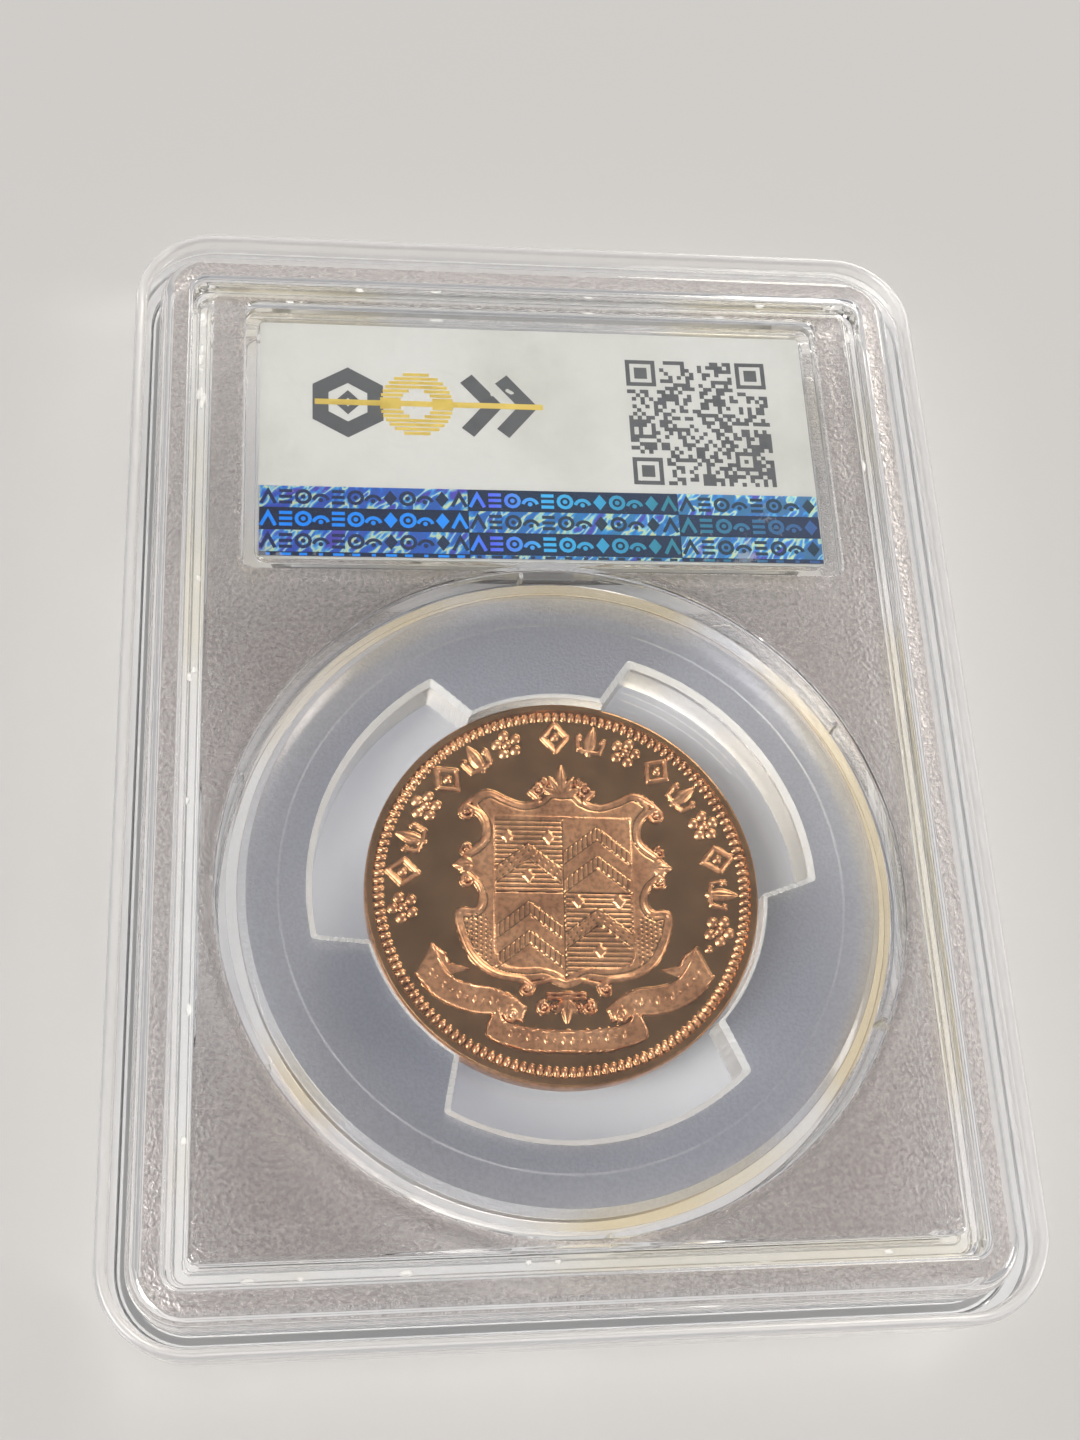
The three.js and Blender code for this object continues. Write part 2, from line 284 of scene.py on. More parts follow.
def front_section():
    parting, ridge_outer = PARTING_Z - SEAM, LIP_WIDTH + NEST_CLEARANCE
    groove_z, edge = RIDGE_HEIGHT + GROOVE_DEPTH, 0.3
    middle = (WELD_OUTER + WELD_INNER) / 2
    near, far = (middle + side * (TONGUE_WIDTH / 2 + TONGUE_GAP) for side in (-1, 1))
    slot_z = parting - TONGUE_LENGTH - TONGUE_GAP
    return softened([
        (WELD_INNER + 1, FRONT_INNER_Z), (WELD_INNER, FRONT_INNER_Z), (WELD_INNER, parting), (far, parting),
        (far, slot_z), (near, slot_z), (near, parting), (WELD_OUTER, parting), (WELD_OUTER, FRONT_INNER_Z),
        (SKIRT_WALL + RIDGE_HEIGHT, FRONT_INNER_Z), (SKIRT_WALL, WALL), (SKIRT_WALL, parting), (0, parting),
        *arc(edge, RIDGE_HEIGHT + edge, edge, 180, 270), (ridge_outer, RIDGE_HEIGHT),
        (ridge_outer, NEST_CLEARANCE), (ridge_outer + NEST_CLEARANCE, 0),
        *slope(NEST_CLEARANCE, RIDGE_HEIGHT), (GROOVE_OUTER, RIDGE_HEIGHT),
        (GROOVE_OUTER + GROOVE_DEPTH, groove_z), (GROOVE_INNER - GROOVE_DEPTH, groove_z),
        (GROOVE_INNER, RIDGE_HEIGHT), (GROOVE_INNER + 1, RIDGE_HEIGHT),
    ])


def hoop(inner, outer, low, high):
    section = softened([(inner, low), (outer, low), (outer, high), (inner, high)], closed=True)
    return loft("hoop", [circle_ring(r, z) for r, z in section], loop=True)


def label_frame(width, height, wall, low, high):
    section = softened([(wall, low), (0, low), (0, high), (wall, high)], closed=True)
    rings = [label_ring(width - 2 * t, height - 2 * t, LABEL_WINDOW_RADIUS, z) for t, z in section]
    return loft("label frame", rings, loop=True)


def window_cutters(face_z, outward):
    """The two polished windows, sunk into a face with a chamfered edge."""
    floor = face_z - outward * WINDOW_RECESS
    levels = [(-WINDOW_RECESS * 0.8, floor), (0, face_z), (OVERLAP, face_z + outward * OVERLAP)]
    disc = loft("coin window", [circle_ring(POCKET_RADIUS + grow, z) for grow, z in levels])
    width, height = LABEL_WINDOW
    rings = [label_ring(width + 2 * grow, height + 2 * grow, LABEL_WINDOW_RADIUS, z)
             for grow, z in levels]
    return disc, loft("label window", rings)


def pocket_rib(angle):
    """A thin upright rib on the pocket's wall that keeps the insert central."""
    half, inner, outer = RIB_WIDTH / 2, POCKET_RADIUS - RIB_REACH, POCKET_RADIUS + RIB_ROOT
    plan = softened([(inner, -half), (outer, -half), (outer, half), (inner, half)], 0.08, closed=True)
    turn = Matrix.Rotation(math.radians(angle), 2)
    plan = [turn @ Vector(p) + Vector((0, POCKET_Y)) for p in plan]
    ends = (REAR_INNER_Z - RIB_DROP, REAR_INNER_Z + RIB_ROOT)
    return loft("rib", [[(x, y, z) for x, y in plan] for z in ends])


def paint_case(piece, face_z, outward):
    """Gives the flat pebbled areas of a half's outer face the second material slot, the lip and the outer
    wall the third, and the weld's tongue, the label's ribs and the pocket's ribs the fourth."""
    for face in piece.data.polygons:
        x, y, z = face.center
        flat = face.normal.z * outward > 0.99 and abs(z - face_z) < 2 * EJECTOR_DEPTH
        inset = min(WIDTH / 2 - abs(x), LENGTH / 2 - abs(y))
        pebbled = flat and (inset > GROOVE_INNER or inset < GROOVE_OUTER) and inset > PLATEAU_EDGE
        over_x = abs(x) - WIDTH / 2 + CORNER_RADIUS
        over_y = abs(y) - LENGTH / 2 + CORNER_RADIUS
        if min(over_x, over_y) > 0:
            inset = CORNER_RADIUS - math.hypot(over_x, over_y)
        lip = inset < LIP_WIDTH and (z > THICKNESS - MOAT_DEPTH or inset < SEAM)
        inside = FRONT_INNER_Z + SEAM < z < REAR_INNER_Z - SEAM
        tongue = WELD_OUTER + SEAM < inset < WELD_INNER - SEAM
        across, upward = abs(x) - LABEL_WINDOW[0] / 2, abs(y - LABEL_Y) - LABEL_HEIGHT / 2
        rib = (abs(across) < 1 and upward < 1) or (abs(upward - 0.6) < 0.6 and across < 0)
        ribbed = rib and z > REAR_INNER_Z - LABEL_RIB_DROP - SEAM
        radius = math.hypot(x, y - POCKET_Y)
        spacer = POCKET_RADIUS - RIB_REACH - SEAM < radius < POCKET_RADIUS - SEAM
        inner = inside and (tongue or ribbed or spacer)
        face.material_index = 1 if pebbled else 2 if lip else 3 if inner else 0


def ejector_mark(x, y):
    """A shallow round witness of an ejector pin in the face."""
    levels = [(0, THICKNESS - EJECTOR_DEPTH), (EJECTOR_DEPTH, THICKNESS), (0.1, THICKNESS + 0.1)]
    return loft("mark", [circle_ring(EJECTOR_RADIUS + grow, z, 32, (x, y)) for grow, z in levels])


def weld_flash():
    """Beads of plastic that the welding squeezed along the tongue, closest together near one corner."""
    rng = np.random.default_rng(FLASH_SEED)
    middle = (WELD_OUTER + WELD_INNER) / 2
    x, y = WIDTH / 2 - middle, LENGTH / 2 - middle
    places = [(-x, t, 1) for t in rng.uniform(0.74 * y, 0.97 * y, FLASH_MANY)]
    places += [(-x, t, 1) for t in rng.uniform(-y, 0.7 * y, FLASH_FEW)]
    places += [(x, t, 1) for t in rng.uniform(-y, y, FLASH_FEW)]
    places += [(t, y, 0) for t in rng.uniform(-x, x, FLASH_FEW)]
    places += [(t, -y, 0) for t in rng.uniform(-x, x, FLASH_FEW)]
    shape = bmesh.new()
    for px, py, upright in places:
        made = bmesh.ops.create_icosphere(shape, subdivisions=2, radius=1.0)["verts"]
        reach = rng.uniform(0.2, 0.6)
        size = Vector((0.2, reach, 0.16)) if upright else Vector((reach, 0.2, 0.16))
        centre = Vector((px + rng.uniform(-0.3, 0.3) * upright, py + rng.uniform(-0.3, 0.3) * (1 - upright),
                         PARTING_Z + rng.uniform(-0.2, 0.3)))
        lumps = rng.uniform(0.75, 1.25, len(made))
        for vert, lump in zip(made, lumps):
            vert.co = centre + Vector([a * b * lump for a, b in zip(vert.co, size)])
    mesh = bpy.data.meshes.new("weld_flash")
    shape.to_mesh(mesh)
    shape.free()
    return placed("weld_flash", mesh)


def rear_case():
    case = loft("rear_case", [case_ring(inset, z) for inset, z in rear_section()])
    pocket = hoop(POCKET_RADIUS, POCKET_RADIUS + POCKET_WALL, PARTING_Z + SEAM, REAR_INNER_Z + OVERLAP)
    case = merged(case, pocket, "UNION")
    wall = (LABEL_WINDOW[0] - LABEL_WIDTH) / 2 - LABEL_CLEARANCE
    height = LABEL_HEIGHT + 2 * (LABEL_CLEARANCE + wall)
    low, high = REAR_INNER_Z - LABEL_RIB_DROP, REAR_INNER_Z + OVERLAP
    rib = label_frame(LABEL_WINDOW[0], height, wall, low, high)
    ring_space = loft("ring space", [circle_ring(POCKET_RADIUS, z) for z in (0, REAR_INNER_Z)])
    case = merged(case, merged(rib, ring_space, "DIFFERENCE"), "UNION")
    for angle in RIB_ANGLES:
        case = merged(case, pocket_rib(angle), "UNION")
    marks = [ejector_mark(*place) for place in EJECTOR_PLACES]
    for cutter in (*window_cutters(THICKNESS, 1), *marks):
        case = merged(case, cutter, "DIFFERENCE")
    paint_case(case, THICKNESS, 1)
    return case


def front_case():
    case = loft("front_case", [case_ring(inset, z) for inset, z in front_section()])
    low = FRONT_INNER_Z - OVERLAP
    pocket = hoop(POCKET_RADIUS, POCKET_RADIUS + POCKET_WALL, low, PARTING_Z - SEAM)
    case = merged(case, pocket, "UNION")
    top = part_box("label_card")[0][2] / MM - 0.1
    width, height = (size - 2 * LABEL_REST_INSET for size in (LABEL_WIDTH, LABEL_HEIGHT))
    rest = label_frame(width, height, LABEL_REST_WALL, low, top)
    case = merged(case, rest, "UNION")
    for cutter in window_cutters(RIDGE_HEIGHT, -1):
        case = merged(case, cutter, "DIFFERENCE")
    paint_case(case, RIDGE_HEIGHT, -1)
    return case


# ---------------------------------------------------------------- the token
# Its design is laid out on a plane of its own, +v to the top of the design. A shape is given by signed
# distances, negative inside, and a path by its points. The device is a plain quartered shield in a scrolled
# frame over a ribbon, and ornaments stand where such a token has its legend.
TOKEN_TURN = math.radians(-1.7)
TOKEN_RADIUS, TOKEN_FIELD, TOKEN_BEVEL = 14.3, 0.25, 0.2
RIM_INNER, TOOTH_RADIUS, TOOTH_REACH, TOOTH_COUNT, TOOTH_HEIGHT = 13.72, 13.3, 0.36, 144, 0.2
FACE_STEPS, BACK_STEPS = 360, 180

FRAME_HEIGHT, SHIELD_HEIGHT, SCROLL_HEIGHT = 0.13, 0.10, 0.22
SHIELD_HALF, SHIELD_TOP, SHIELD_SIDE_END, SHIELD_TIP, SHIELD_MIDDLE = 5.05, 5.3, -4.6, -6.8, -0.35
HATCH_PITCH, LINE, CHEVRON_DROP = 0.36, 0.14, 1.95
CUT_DEPTH, CUT_HALF = 0.05, 0.05  # depth and half width of the fine cut lines

FRAME_EDGE = [(0, 7.2), (0.9, 7.2), (1.6, 6.6), (2.7, 6.3), (4.0, 6.65), (5.3, 7.2), (6.4, 6.6), (6.5, 6.0),
              (5.75, 5.0), (5.65, 3.8), (6.2, 3.0), (7.1, 2.4), (7.8, 1.65), (7.1, 0.8), (6.2, -0.1),
              (5.95, -1.2), (6.5, -1.9), (7.6, -1.9), (7.4, -3.5), (6.5, -5.3), (5.0, -6.4), (3.0, -6.8),
              (1.6, -6.7), (0.8, -7.1), (0, -7.4)]
UPPER_SCROLL = [(2.3, 7.3), (1.7, 6.6), (2.8, 6.2), (4.1, 6.6), (5.4, 7.15), (6.6, 6.6), (7.3, 5.9)]
SIDE_SCROLL = [(6.9, 6.1), (5.95, 5.4), (5.6, 4.4), (5.8, 3.4), (6.9, 2.5)]
LOWER_SCROLL = [(7.0, 0.9), (6.2, 0.2), (5.9, -0.8), (6.3, -1.75), (7.6, -1.9), (7.4, -3.5), (6.5, -5.3),
                (5.0, -6.4), (3.0, -6.8), (2.4, -7.3)]
LOBE = [(5.5, -2.2), (7.1, -2.4), (6.9, -3.6), (6.1, -5.0), (5.3, -5.6)]
VOLUTES = [((1.8, 7.45), 0.5, 1), ((6.95, 5.6), 0.55, -1), ((7.1, 2.75), 0.45, 1), ((6.95, 0.45), 0.5, -1),
           ((2.85, -7.45), 0.5, 1), ((1.6, -8.75), 0.5, -1)]
RIBBON_SIDE_TOP = [(2.9, -8.85), (3.9, -8.0), (5.2, -7.45), (6.6, -7.25), (7.9, -6.8), (8.8, -5.7),
                   (9.5, -4.3)]
RIBBON_SIDE_LOW = [(10.6, -6.4), (9.4, -7.85), (7.8, -8.75), (6.3, -9.15), (4.8, -9.2), (3.2, -9.7)]
RIBBON_TAIL = [(9.5, -4.3), (8.6, -4.95), (8.2, -5.75), (6.95, -6.05), (8.1, -6.45), (7.9, -6.8),
               (9.1, -6.0)]
RIBBON_MIDDLE = [(0, -10.4), (1.2, -10.4), (3.1, -10.2), (4.4, -9.8), (4.8, -8.9)]
RIBBON_MIDDLE_LOW = [(5.2, -9.3), (5.6, -10.75), (3.6, -11.6), (2.0, -11.85), (0, -11.85)]


def smooth(points, closed=False, steps=5):
    """A rounded path through a few points."""
    points = [np.array(p, float) for p in points]
    n = len(points)
    out = []
    for i in range(n if closed else n - 1):
        if closed:
            before, a, b, after = (points[(i + k) % n] for k in (-1, 0, 1, 2))
        else:
            before, a, b, after = (points[min(max(i + k, 0), n - 1)] for k in (-1, 0, 1, 2))
        for t in np.arange(steps) / steps:
            pull = (2 * before - 5 * a + 4 * b - after) * t + (3 * a - before - 3 * b + after) * t * t
            out.append(a + 0.5 * t * (b - before + pull))
    if not closed:
        out.append(points[-1])
    return out


def mirrored(path):
    return [(-x, y) for x, y in path]


def along(u, v, path):
    """Distance of points from a path, and how far along it, from 0 to 1, its nearest place is."""
    best, where = np.full(u.shape, np.inf), np.zeros(u.shape)
    for k, ((ax, ay), (bx, by)) in enumerate(zip(path, path[1:])):
        dx, dy = bx - ax, by - ay
        t = np.clip(((u - ax) * dx + (v - ay) * dy) / max(dx * dx + dy * dy, 1e-9), 0, 1)
        distance = np.hypot(u - ax - t * dx, v - ay - t * dy)
        near = distance < best
        best = np.where(near, distance, best)
        where = np.where(near, (k + t) / (len(path) - 1), where)
    return best, where


def enclosed(u, v, outline):
    """Signed distance of points from a closed outline."""
    loop = [*outline, outline[0]]
    distance, _ = along(u, v, loop)
    odd = np.zeros(u.shape, bool)
    for (ax, ay), (bx, by) in zip(loop, loop[1:]):
        rise = by - ay if by != ay else 1e-9
        odd ^= ((ay > v) != (by > v)) & (u < ax + (v - ay) * (bx - ax) / rise)
    return np.where(odd, -distance, distance)


class Relief:
    """Heights over points of a face, and how much of each point is struck metal, not mirror field. The fine
    cut lines lower it, which paints shade into them.
    """

    def __init__(self, u, v):
        self.u, self.v = u, v
        self.height, self.struck = np.zeros(u.shape), np.zeros(u.shape)

    def near(self, path, margin):
        xs, ys = zip(*path)
        return np.nonzero((self.u > min(xs) - margin) & (self.u < max(xs) + margin)
                          & (self.v > min(ys) - margin) & (self.v < max(ys) + margin))[0]

    def lift(self, at, distance, height, soft, base=0.0, struck=1.0):
        """Raises a shape with rounded edges to a height over the field, where nothing higher stands."""
        t = np.clip(-distance / soft, 0, 1)
        rise = np.where(distance < 0, base + (height - base) * np.sqrt(1 - (1 - t) ** 2), 0)
        self.height[at] = np.maximum(self.height[at], rise)
        self.struck[at] = np.maximum(self.struck[at], struck * np.clip(0.5 - distance / 0.08, 0, 1))

    def area(self, outline, height, soft=0.2, struck=1.0):
        at = self.near(outline, 0.2)
        self.lift(at, enclosed(self.u[at], self.v[at], outline), height, soft, struck=struck)

    def band(self, path, width, height, taper=0.0, base=0.0):
        at = self.near(path, width)
        distance, where = along(self.u[at], self.v[at], path)
        self.lift(at, distance - width / 2 * (1 - taper * where), height, width / 2, base)

    def leaf(self, start, end, width, height):
        """A pointed leaf with a groove down its middle."""
        at = self.near([start, end], width)
        distance, where = along(self.u[at], self.v[at], [start, end])
        self.lift(at, distance - width / 2 * np.sin(np.pi * (0.12 + 0.85 * where)), height, width / 2)
        self.cut(at, distance - CUT_HALF, 0.4)

    def dot(self, centre, radius, height, base=0.0):
        self.band([centre, centre], 2 * radius, height, base=base)

    def volute(self, centre, radius, hand, height):
        turns = np.linspace(0, 1, 16)
        angles = np.pi / 2 + hand * turns * 1.35 * 2 * np.pi
        radii = radius * (1 - 0.62 * turns)
        path = [polar(r, a, centre) for a, r in zip(angles, radii)]
        self.band(path, radius * 0.55, height, 0.4, 0.03)
        self.dot(centre, radius * 0.33, height)

    def cut(self, at, distance, line_shade=0.95):
        """Sinks a fine line into what stands there, and paints shade into it by turning it towards the
        darker field colour.
        """
        t = np.clip(0.5 - distance / 0.06, 0, 1)
        self.height[at] -= CUT_DEPTH * t
        # painted shade in the line: less struck metal means the darker field colour
        self.struck[at] *= 1 - line_shade * t


def shield_outline():
    side = [(SHIELD_HALF, SHIELD_SIDE_END), (4.7, -5.6), (3.6, -6.0), (1.9, -6.0), (0.7, -6.3),
            (0, SHIELD_TIP)]
    right = [(SHIELD_HALF, SHIELD_TOP), *smooth(side)]
    return [*right, *reversed(mirrored(right[:-1]))]


def chevron(relief, apex_x, apex_y, thickness, fill):
    """A chevron right across a quarter, outlined by cut lines and filled with hatching or pellets."""
    half = SHIELD_HALF / 2
    left, low = apex_x - half, apex_y - CHEVRON_DROP - thickness
    at = relief.near([(left + 0.1, apex_y + 0.2), (left + 2 * half - 0.1, low)], 0)
    u, v = relief.u[at], relief.v[at]
    top = apex_y - abs(u - apex_x) / half * CHEVRON_DROP
    depth = top - v
    inside = (depth > 0) & (depth < thickness)
    relief.height[at] += np.where(inside, 0.045, 0)
    relief.cut(at, abs(depth) - CUT_HALF)
    relief.cut(at, abs(depth - thickness) - CUT_HALF)
    if fill == "hatched":
        phase = np.cos(2 * np.pi * u / HATCH_PITCH)
        relief.cut(at, np.where(inside, 0.03 - 0.05 * phase, 1))
    else:
        row = np.round((depth - thickness / 2) / 0.4).clip(-1, 1)
        du = (u / 0.42 + 0.5 * row + 0.5) % 1 - 0.5
        dv = (depth - thickness / 2) / 0.4 - row
        relief.cut(at, np.where(inside, np.hypot(du * 0.42, dv * 0.4) - 0.09, 1))


def quarter(relief, side, upper, hatched):
    """One quarter of the shield: ruled, with a dotted chevron between lozenges, or plain with two
    chevrons."""
    centre = side * SHIELD_HALF / 2
    top = SHIELD_TOP if upper else SHIELD_MIDDLE
    if not hatched:
        for apex in (top - 0.65, top - 2.8):
            chevron(relief, centre, apex, 1.0, "hatched")
        return
    outline = shield_outline()
    bottom = SHIELD_MIDDLE if upper else SHIELD_TIP
    at = relief.near([(centre - SHIELD_HALF / 2, top), (centre + SHIELD_HALF / 2, bottom)], 0)
    u, v = relief.u[at], relief.v[at]
    ruled = enclosed(u, v, outline) < -0.1
    apex = top - (1.95 if upper else 1.1)
    depth = apex - abs(u - centre) / (SHIELD_HALF / 2) * CHEVRON_DROP - v
    ruled &= (depth < 0) | (depth > 1.2)
    relief.cut(at, np.where(ruled, 0.02 - 0.06 * np.cos(2 * np.pi * v / HATCH_PITCH), 1))
    chevron(relief, centre, apex, 1.2, "dotted")
    low = apex - 2.6 + (0.1 if upper else -0.6)
    for x, y in ((centre - 1.5, apex + 0.45), (centre + 1.5, apex + 0.45), (centre, low)):
        lozenge = [(x, y + 0.6), (x + 0.48, y), (x, y - 0.6), (x - 0.48, y)]
        relief.area(lozenge, SHIELD_HEIGHT + 0.08, 0.15)


def draw_shield(relief):
    outline = shield_outline()
    at = relief.near(outline, 0.3)
    distance = enclosed(relief.u[at], relief.v[at], outline)
    inner = distance < 0
    relief.height[at] = np.where(inner, SHIELD_HEIGHT, relief.height[at])
    for side in (-1, 1):
        quarter(relief, side, True, side < 0)
        quarter(relief, side, False, side > 0)
    relief.cut(at, np.where(inner, abs(relief.u[at]) - CUT_HALF, 1))
    relief.cut(at, np.where(inner, abs(relief.v[at] - SHIELD_MIDDLE) - CUT_HALF, 1))
    relief.lift(at, abs(distance) - LINE / 2, FRAME_HEIGHT + 0.06, LINE / 2)


def draw_frame(relief):
    right = smooth(FRAME_EDGE)
    outline = [*right, *reversed(mirrored(right[1:-1]))]
    relief.area(outline, FRAME_HEIGHT, 0.3)
    at = relief.near(outline, 0)
    edge = enclosed(relief.u[at], relief.v[at], outline)
    relief.cut(at, abs(edge + 0.42) - 0.06)
    for mirror in (list, mirrored):
        lobe = mirror(smooth(LOBE, closed=True))
        at = relief.near(lobe, 0.1)
        u, v = relief.u[at], relief.v[at]
        spots = np.hypot((u / 0.34) % 1 - 0.5, (v / 0.34 + 0.5 * np.floor(u / 0.34)) % 1 - 0.5) - 0.3
        relief.cut(at, np.where(enclosed(u, v, lobe) < 0, spots * 0.34, 1))
        for path in (UPPER_SCROLL, SIDE_SCROLL, LOWER_SCROLL):
            relief.band(mirror(smooth(path)), 0.42, SCROLL_HEIGHT)
        for (x, y), radius, hand in VOLUTES:
            sign = 1 if mirror is list else -1
            relief.volute((sign * x, y), radius, hand * sign, SCROLL_HEIGHT)
        for x, y in ((7.45, 2.15), (7.45, 1.05), (8.0, 1.6)):
            relief.leaf(mirror([(6.6, 1.6)])[0], mirror([(x, y)])[0], 0.75, SCROLL_HEIGHT)


def draw_crest(relief):
    """The palmette over the frame, and the bar and pendant below it."""
    leaves = ((0, 2.45, 0.85), (32, 1.8, 0.7), (-32, 1.8, 0.7), (68, 1.7, 0.6), (-68, 1.7, 0.6))
    for angle, length, width in leaves:
        a = math.radians(angle)
        relief.leaf((0, 7.0), (length * math.sin(a), 7.0 + length * math.cos(a)), width, SCROLL_HEIGHT)
    for side in (-1, 1):
        relief.volute((side * 1.35, 8.0), 0.36, side, SCROLL_HEIGHT)
        relief.leaf((0, -8.1), (side * 0.8, -9.2), 0.5, SCROLL_HEIGHT)
        relief.volute((side * 0.85, -8.75), 0.3, -side, SCROLL_HEIGHT)
    relief.leaf((0, -8.0), (0, -9.9), 0.75, SCROLL_HEIGHT)
    for side in (-1, 1):
        bracket = [(0, -7.0), (side * 0.9, -6.75), (side * 1.9, -6.95), (side * 2.6, -7.1)]
        relief.band(smooth(bracket), 0.3, 0.2)
    for y in (-7.75, -8.05):
        relief.band([(-1.3, y), (1.3, y)], 0.27, SCROLL_HEIGHT)


def pellets(relief, places, height):
    """A row of pellets and small lozenges in turn."""
    for k, (x, y) in enumerate(places):
        if k % 2:
            relief.dot((x, y), 0.15, height)
        else:
            relief.area([(x, y + 0.4), (x + 0.2, y), (x, y - 0.4), (x - 0.2, y)], height, 0.1)


def draw_ribbon(relief):
    for mirror in (list, mirrored):
        tail = mirror(RIBBON_TAIL)
        top, low = (mirror(smooth(edge)) for edge in (RIBBON_SIDE_TOP, RIBBON_SIDE_LOW))
        relief.area(tail, 0.09, 0.15)
        relief.area([*top, *low], 0.14, 0.18)
        for edge in (top, low, tail[:4]):
            relief.band(edge, 0.16, 0.18)
        row = smooth([(9.5, -6.3), (8.1, -7.6), (6.5, -8.2), (4.9, -8.35)], steps=3)
        pellets(relief, mirror(row), 0.2)
    half = [*smooth(RIBBON_MIDDLE), *smooth(RIBBON_MIDDLE_LOW)]
    relief.area([*half, *reversed(mirrored(half))], 0.17, 0.18)
    for mirror in (list, mirrored):
        for edge in (RIBBON_MIDDLE, RIBBON_MIDDLE_LOW):
            relief.band(mirror(smooth(edge)), 0.16, 0.21)
        relief.volute(mirror([(3.9, -9.25)])[0], 0.55, 1, 0.22)
        row = [(x, -11.12 + 0.03 * x * x) for x in np.arange(0.3, 4.3, 0.62)]
        pellets(relief, mirror(row), 0.23)


def lozenge_mark(relief, place):
    relief.band([place(x, y) for x, y in ((0, 1), (0.8, 0), (0, -1), (-0.8, 0), (0, 1))], 0.36, 0.2)
    relief.dot(place(0, 0), 0.3, 0.2)


def rosette_mark(relief, place):
    for k in range(5):
        a = math.radians(72 * k)
        relief.dot(place(0.68 * math.sin(a), 0.68 * math.cos(a)), 0.37, 0.19)
    relief.dot(place(0, 0), 0.34, 0.22)


def leaf_mark(relief, place):
    relief.leaf(place(0, -1), place(0, 1.05), 0.9, 0.2)
    for side in (-1, 1):
        relief.band([place(0, -0.85), place(side * 0.7, -0.75), place(side * 0.85, -0.1)], 0.3, 0.18)
        relief.dot(place(side * 0.8, 0.1), 0.24, 0.2)


def draw_ornaments(relief):
    """Sixteen ornaments round the top and sides, and a pellet after them."""
    marks = (rosette_mark, lozenge_mark, leaf_mark)
    angles = [*np.linspace(188, 110, 7), *np.linspace(92, -15, 9)]
    for i, angle in enumerate(angles):
        a = math.radians(angle)
        out, side = np.array((math.cos(a), math.sin(a))), np.array((math.sin(a), -math.cos(a)))
        marks[i % 3](relief, lambda x, y: tuple(out * (11.65 + 1.1 * y) + side * 1.15 * x))
    a = math.radians(-23)
    relief.dot(polar(11.3, a), 0.25, 0.18)


def draw_wreath(relief):
    """The other side: a plain ring of leaves round a rosette."""
    for k in range(40):
        a = math.radians(9 * k)
        b = a + math.radians(10)
        for reach in (7.7, 9.6):
            relief.leaf(polar(8.6, a), polar(reach, b), 0.8, 0.2)
    for k in range(8):
        a = math.radians(45 * k)
        relief.leaf(polar(0.6, a), polar(4.6, a), 1.7, 0.2)
    relief.dot((0, 0), 0.9, 0.22)


def draw_rim(relief):
    """A ring of small teeth and a plain flat rim with a bevelled edge."""
    radius, angle = np.hypot(relief.u, relief.v), np.arctan2(relief.v, relief.u)
    pitch = 2 * np.pi / TOOTH_COUNT
    across = ((angle / pitch) % 1 - 0.5) * pitch * TOOTH_RADIUS / (0.42 * pitch * TOOTH_RADIUS)
    inside = 1 - across ** 2 - ((radius - TOOTH_RADIUS) / TOOTH_REACH) ** 2
    relief.height += TOOTH_HEIGHT * np.sqrt(np.clip(inside, 0, 1))
    relief.struck = np.maximum(relief.struck, np.clip(inside * 4 + 0.3, 0, 1))
    step = np.clip((radius - RIM_INNER + 0.1) / 0.1, 0, 1)
    relief.height = np.maximum(relief.height, TOKEN_FIELD * step)
    relief.struck = np.maximum(relief.struck, 0.12 * step)
    over = np.clip((radius - TOKEN_RADIUS + TOKEN_BEVEL) / TOKEN_BEVEL, 0, 1)
    relief.height -= TOKEN_BEVEL * (1 - np.sqrt(1 - over ** 2))
    relief.struck = np.maximum(relief.struck, over)


def disc_grid(steps):
    """Points of a square grid laid over a disc of radius 1, so that its square rings become circles."""
    line = np.linspace(-1, 1, steps + 1)
    a, b = np.meshgrid(line, line, indexing="ij")
    wide = abs(a) >= abs(b)
    radius = np.where(wide, a, b)
    turn = np.where(wide, b, a) / np.where(radius == 0, 1, radius) * np.pi / 4
    x = radius * np.where(wide, np.cos(turn), np.sin(turn))
    y = radius * np.where(wide, np.sin(turn), np.cos(turn))
    return x.ravel(), y.ravel()


def token_face(x, y, draws):
    turn = -TOKEN_TURN
    relief = Relief(x * math.cos(turn) - y * math.sin(turn), x * math.sin(turn) + y * math.cos(turn))
    for draw in draws:
        draw(relief)
    return relief


def face_grid(steps, z_field, sign, draws):
    """Points, quads, edge loop and struck metal of one face of the token. It faces along sign times +Z."""
    x, y = (TOKEN_RADIUS * c for c in disc_grid(steps))
    relief = token_face(x, y, draws)
    points = np.stack([x, y + POCKET_Y, z_field + sign * relief.height], 1)
    grid = np.arange(len(x)).reshape(steps + 1, steps + 1)
    quads = np.stack([grid[:-1, :-1], grid[1:, :-1], grid[1:, 1:], grid[:-1, 1:]], -1).reshape(-1, 4)
    edge = np.concatenate([grid[0, :-1], grid[:-1, -1], grid[-1, :0:-1], grid[:0:-1, 0]])
    return points, quads[:, ::sign], edge, relief.struck


def token():
    """The struck token: two relief faces joined by a plain edge. The one that lies face down has half the
    steps."""
    low, high = (corner[2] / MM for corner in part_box("coin"))
    top = face_grid(FACE_STEPS, high - TOKEN_FIELD, 1,
                    (draw_frame, draw_shield, draw_crest, draw_ribbon, draw_ornaments, draw_rim))
    under = face_grid(BACK_STEPS, low + TOKEN_FIELD, -1, (draw_wreath, draw_rim))
    count = len(top[0])
    first, second = top[2], under[2] + count
    next_first, next_second = first[2::2].tolist() + [first[0]], np.roll(second, -1)
    wall = np.stack([first[0::2], first[1::2], next_first, next_second, second], 1)
    faces = [*top[1].tolist(), *(under[1] + count).tolist(), *wall.tolist()]
    piece = to_object("token", np.concatenate([top[0], under[0]]), faces)
    struck = piece.data.attributes.new("struck", "FLOAT", "POINT")
    struck.data.foreach_set("value", np.concatenate([top[3], under[3]]))
    return piece


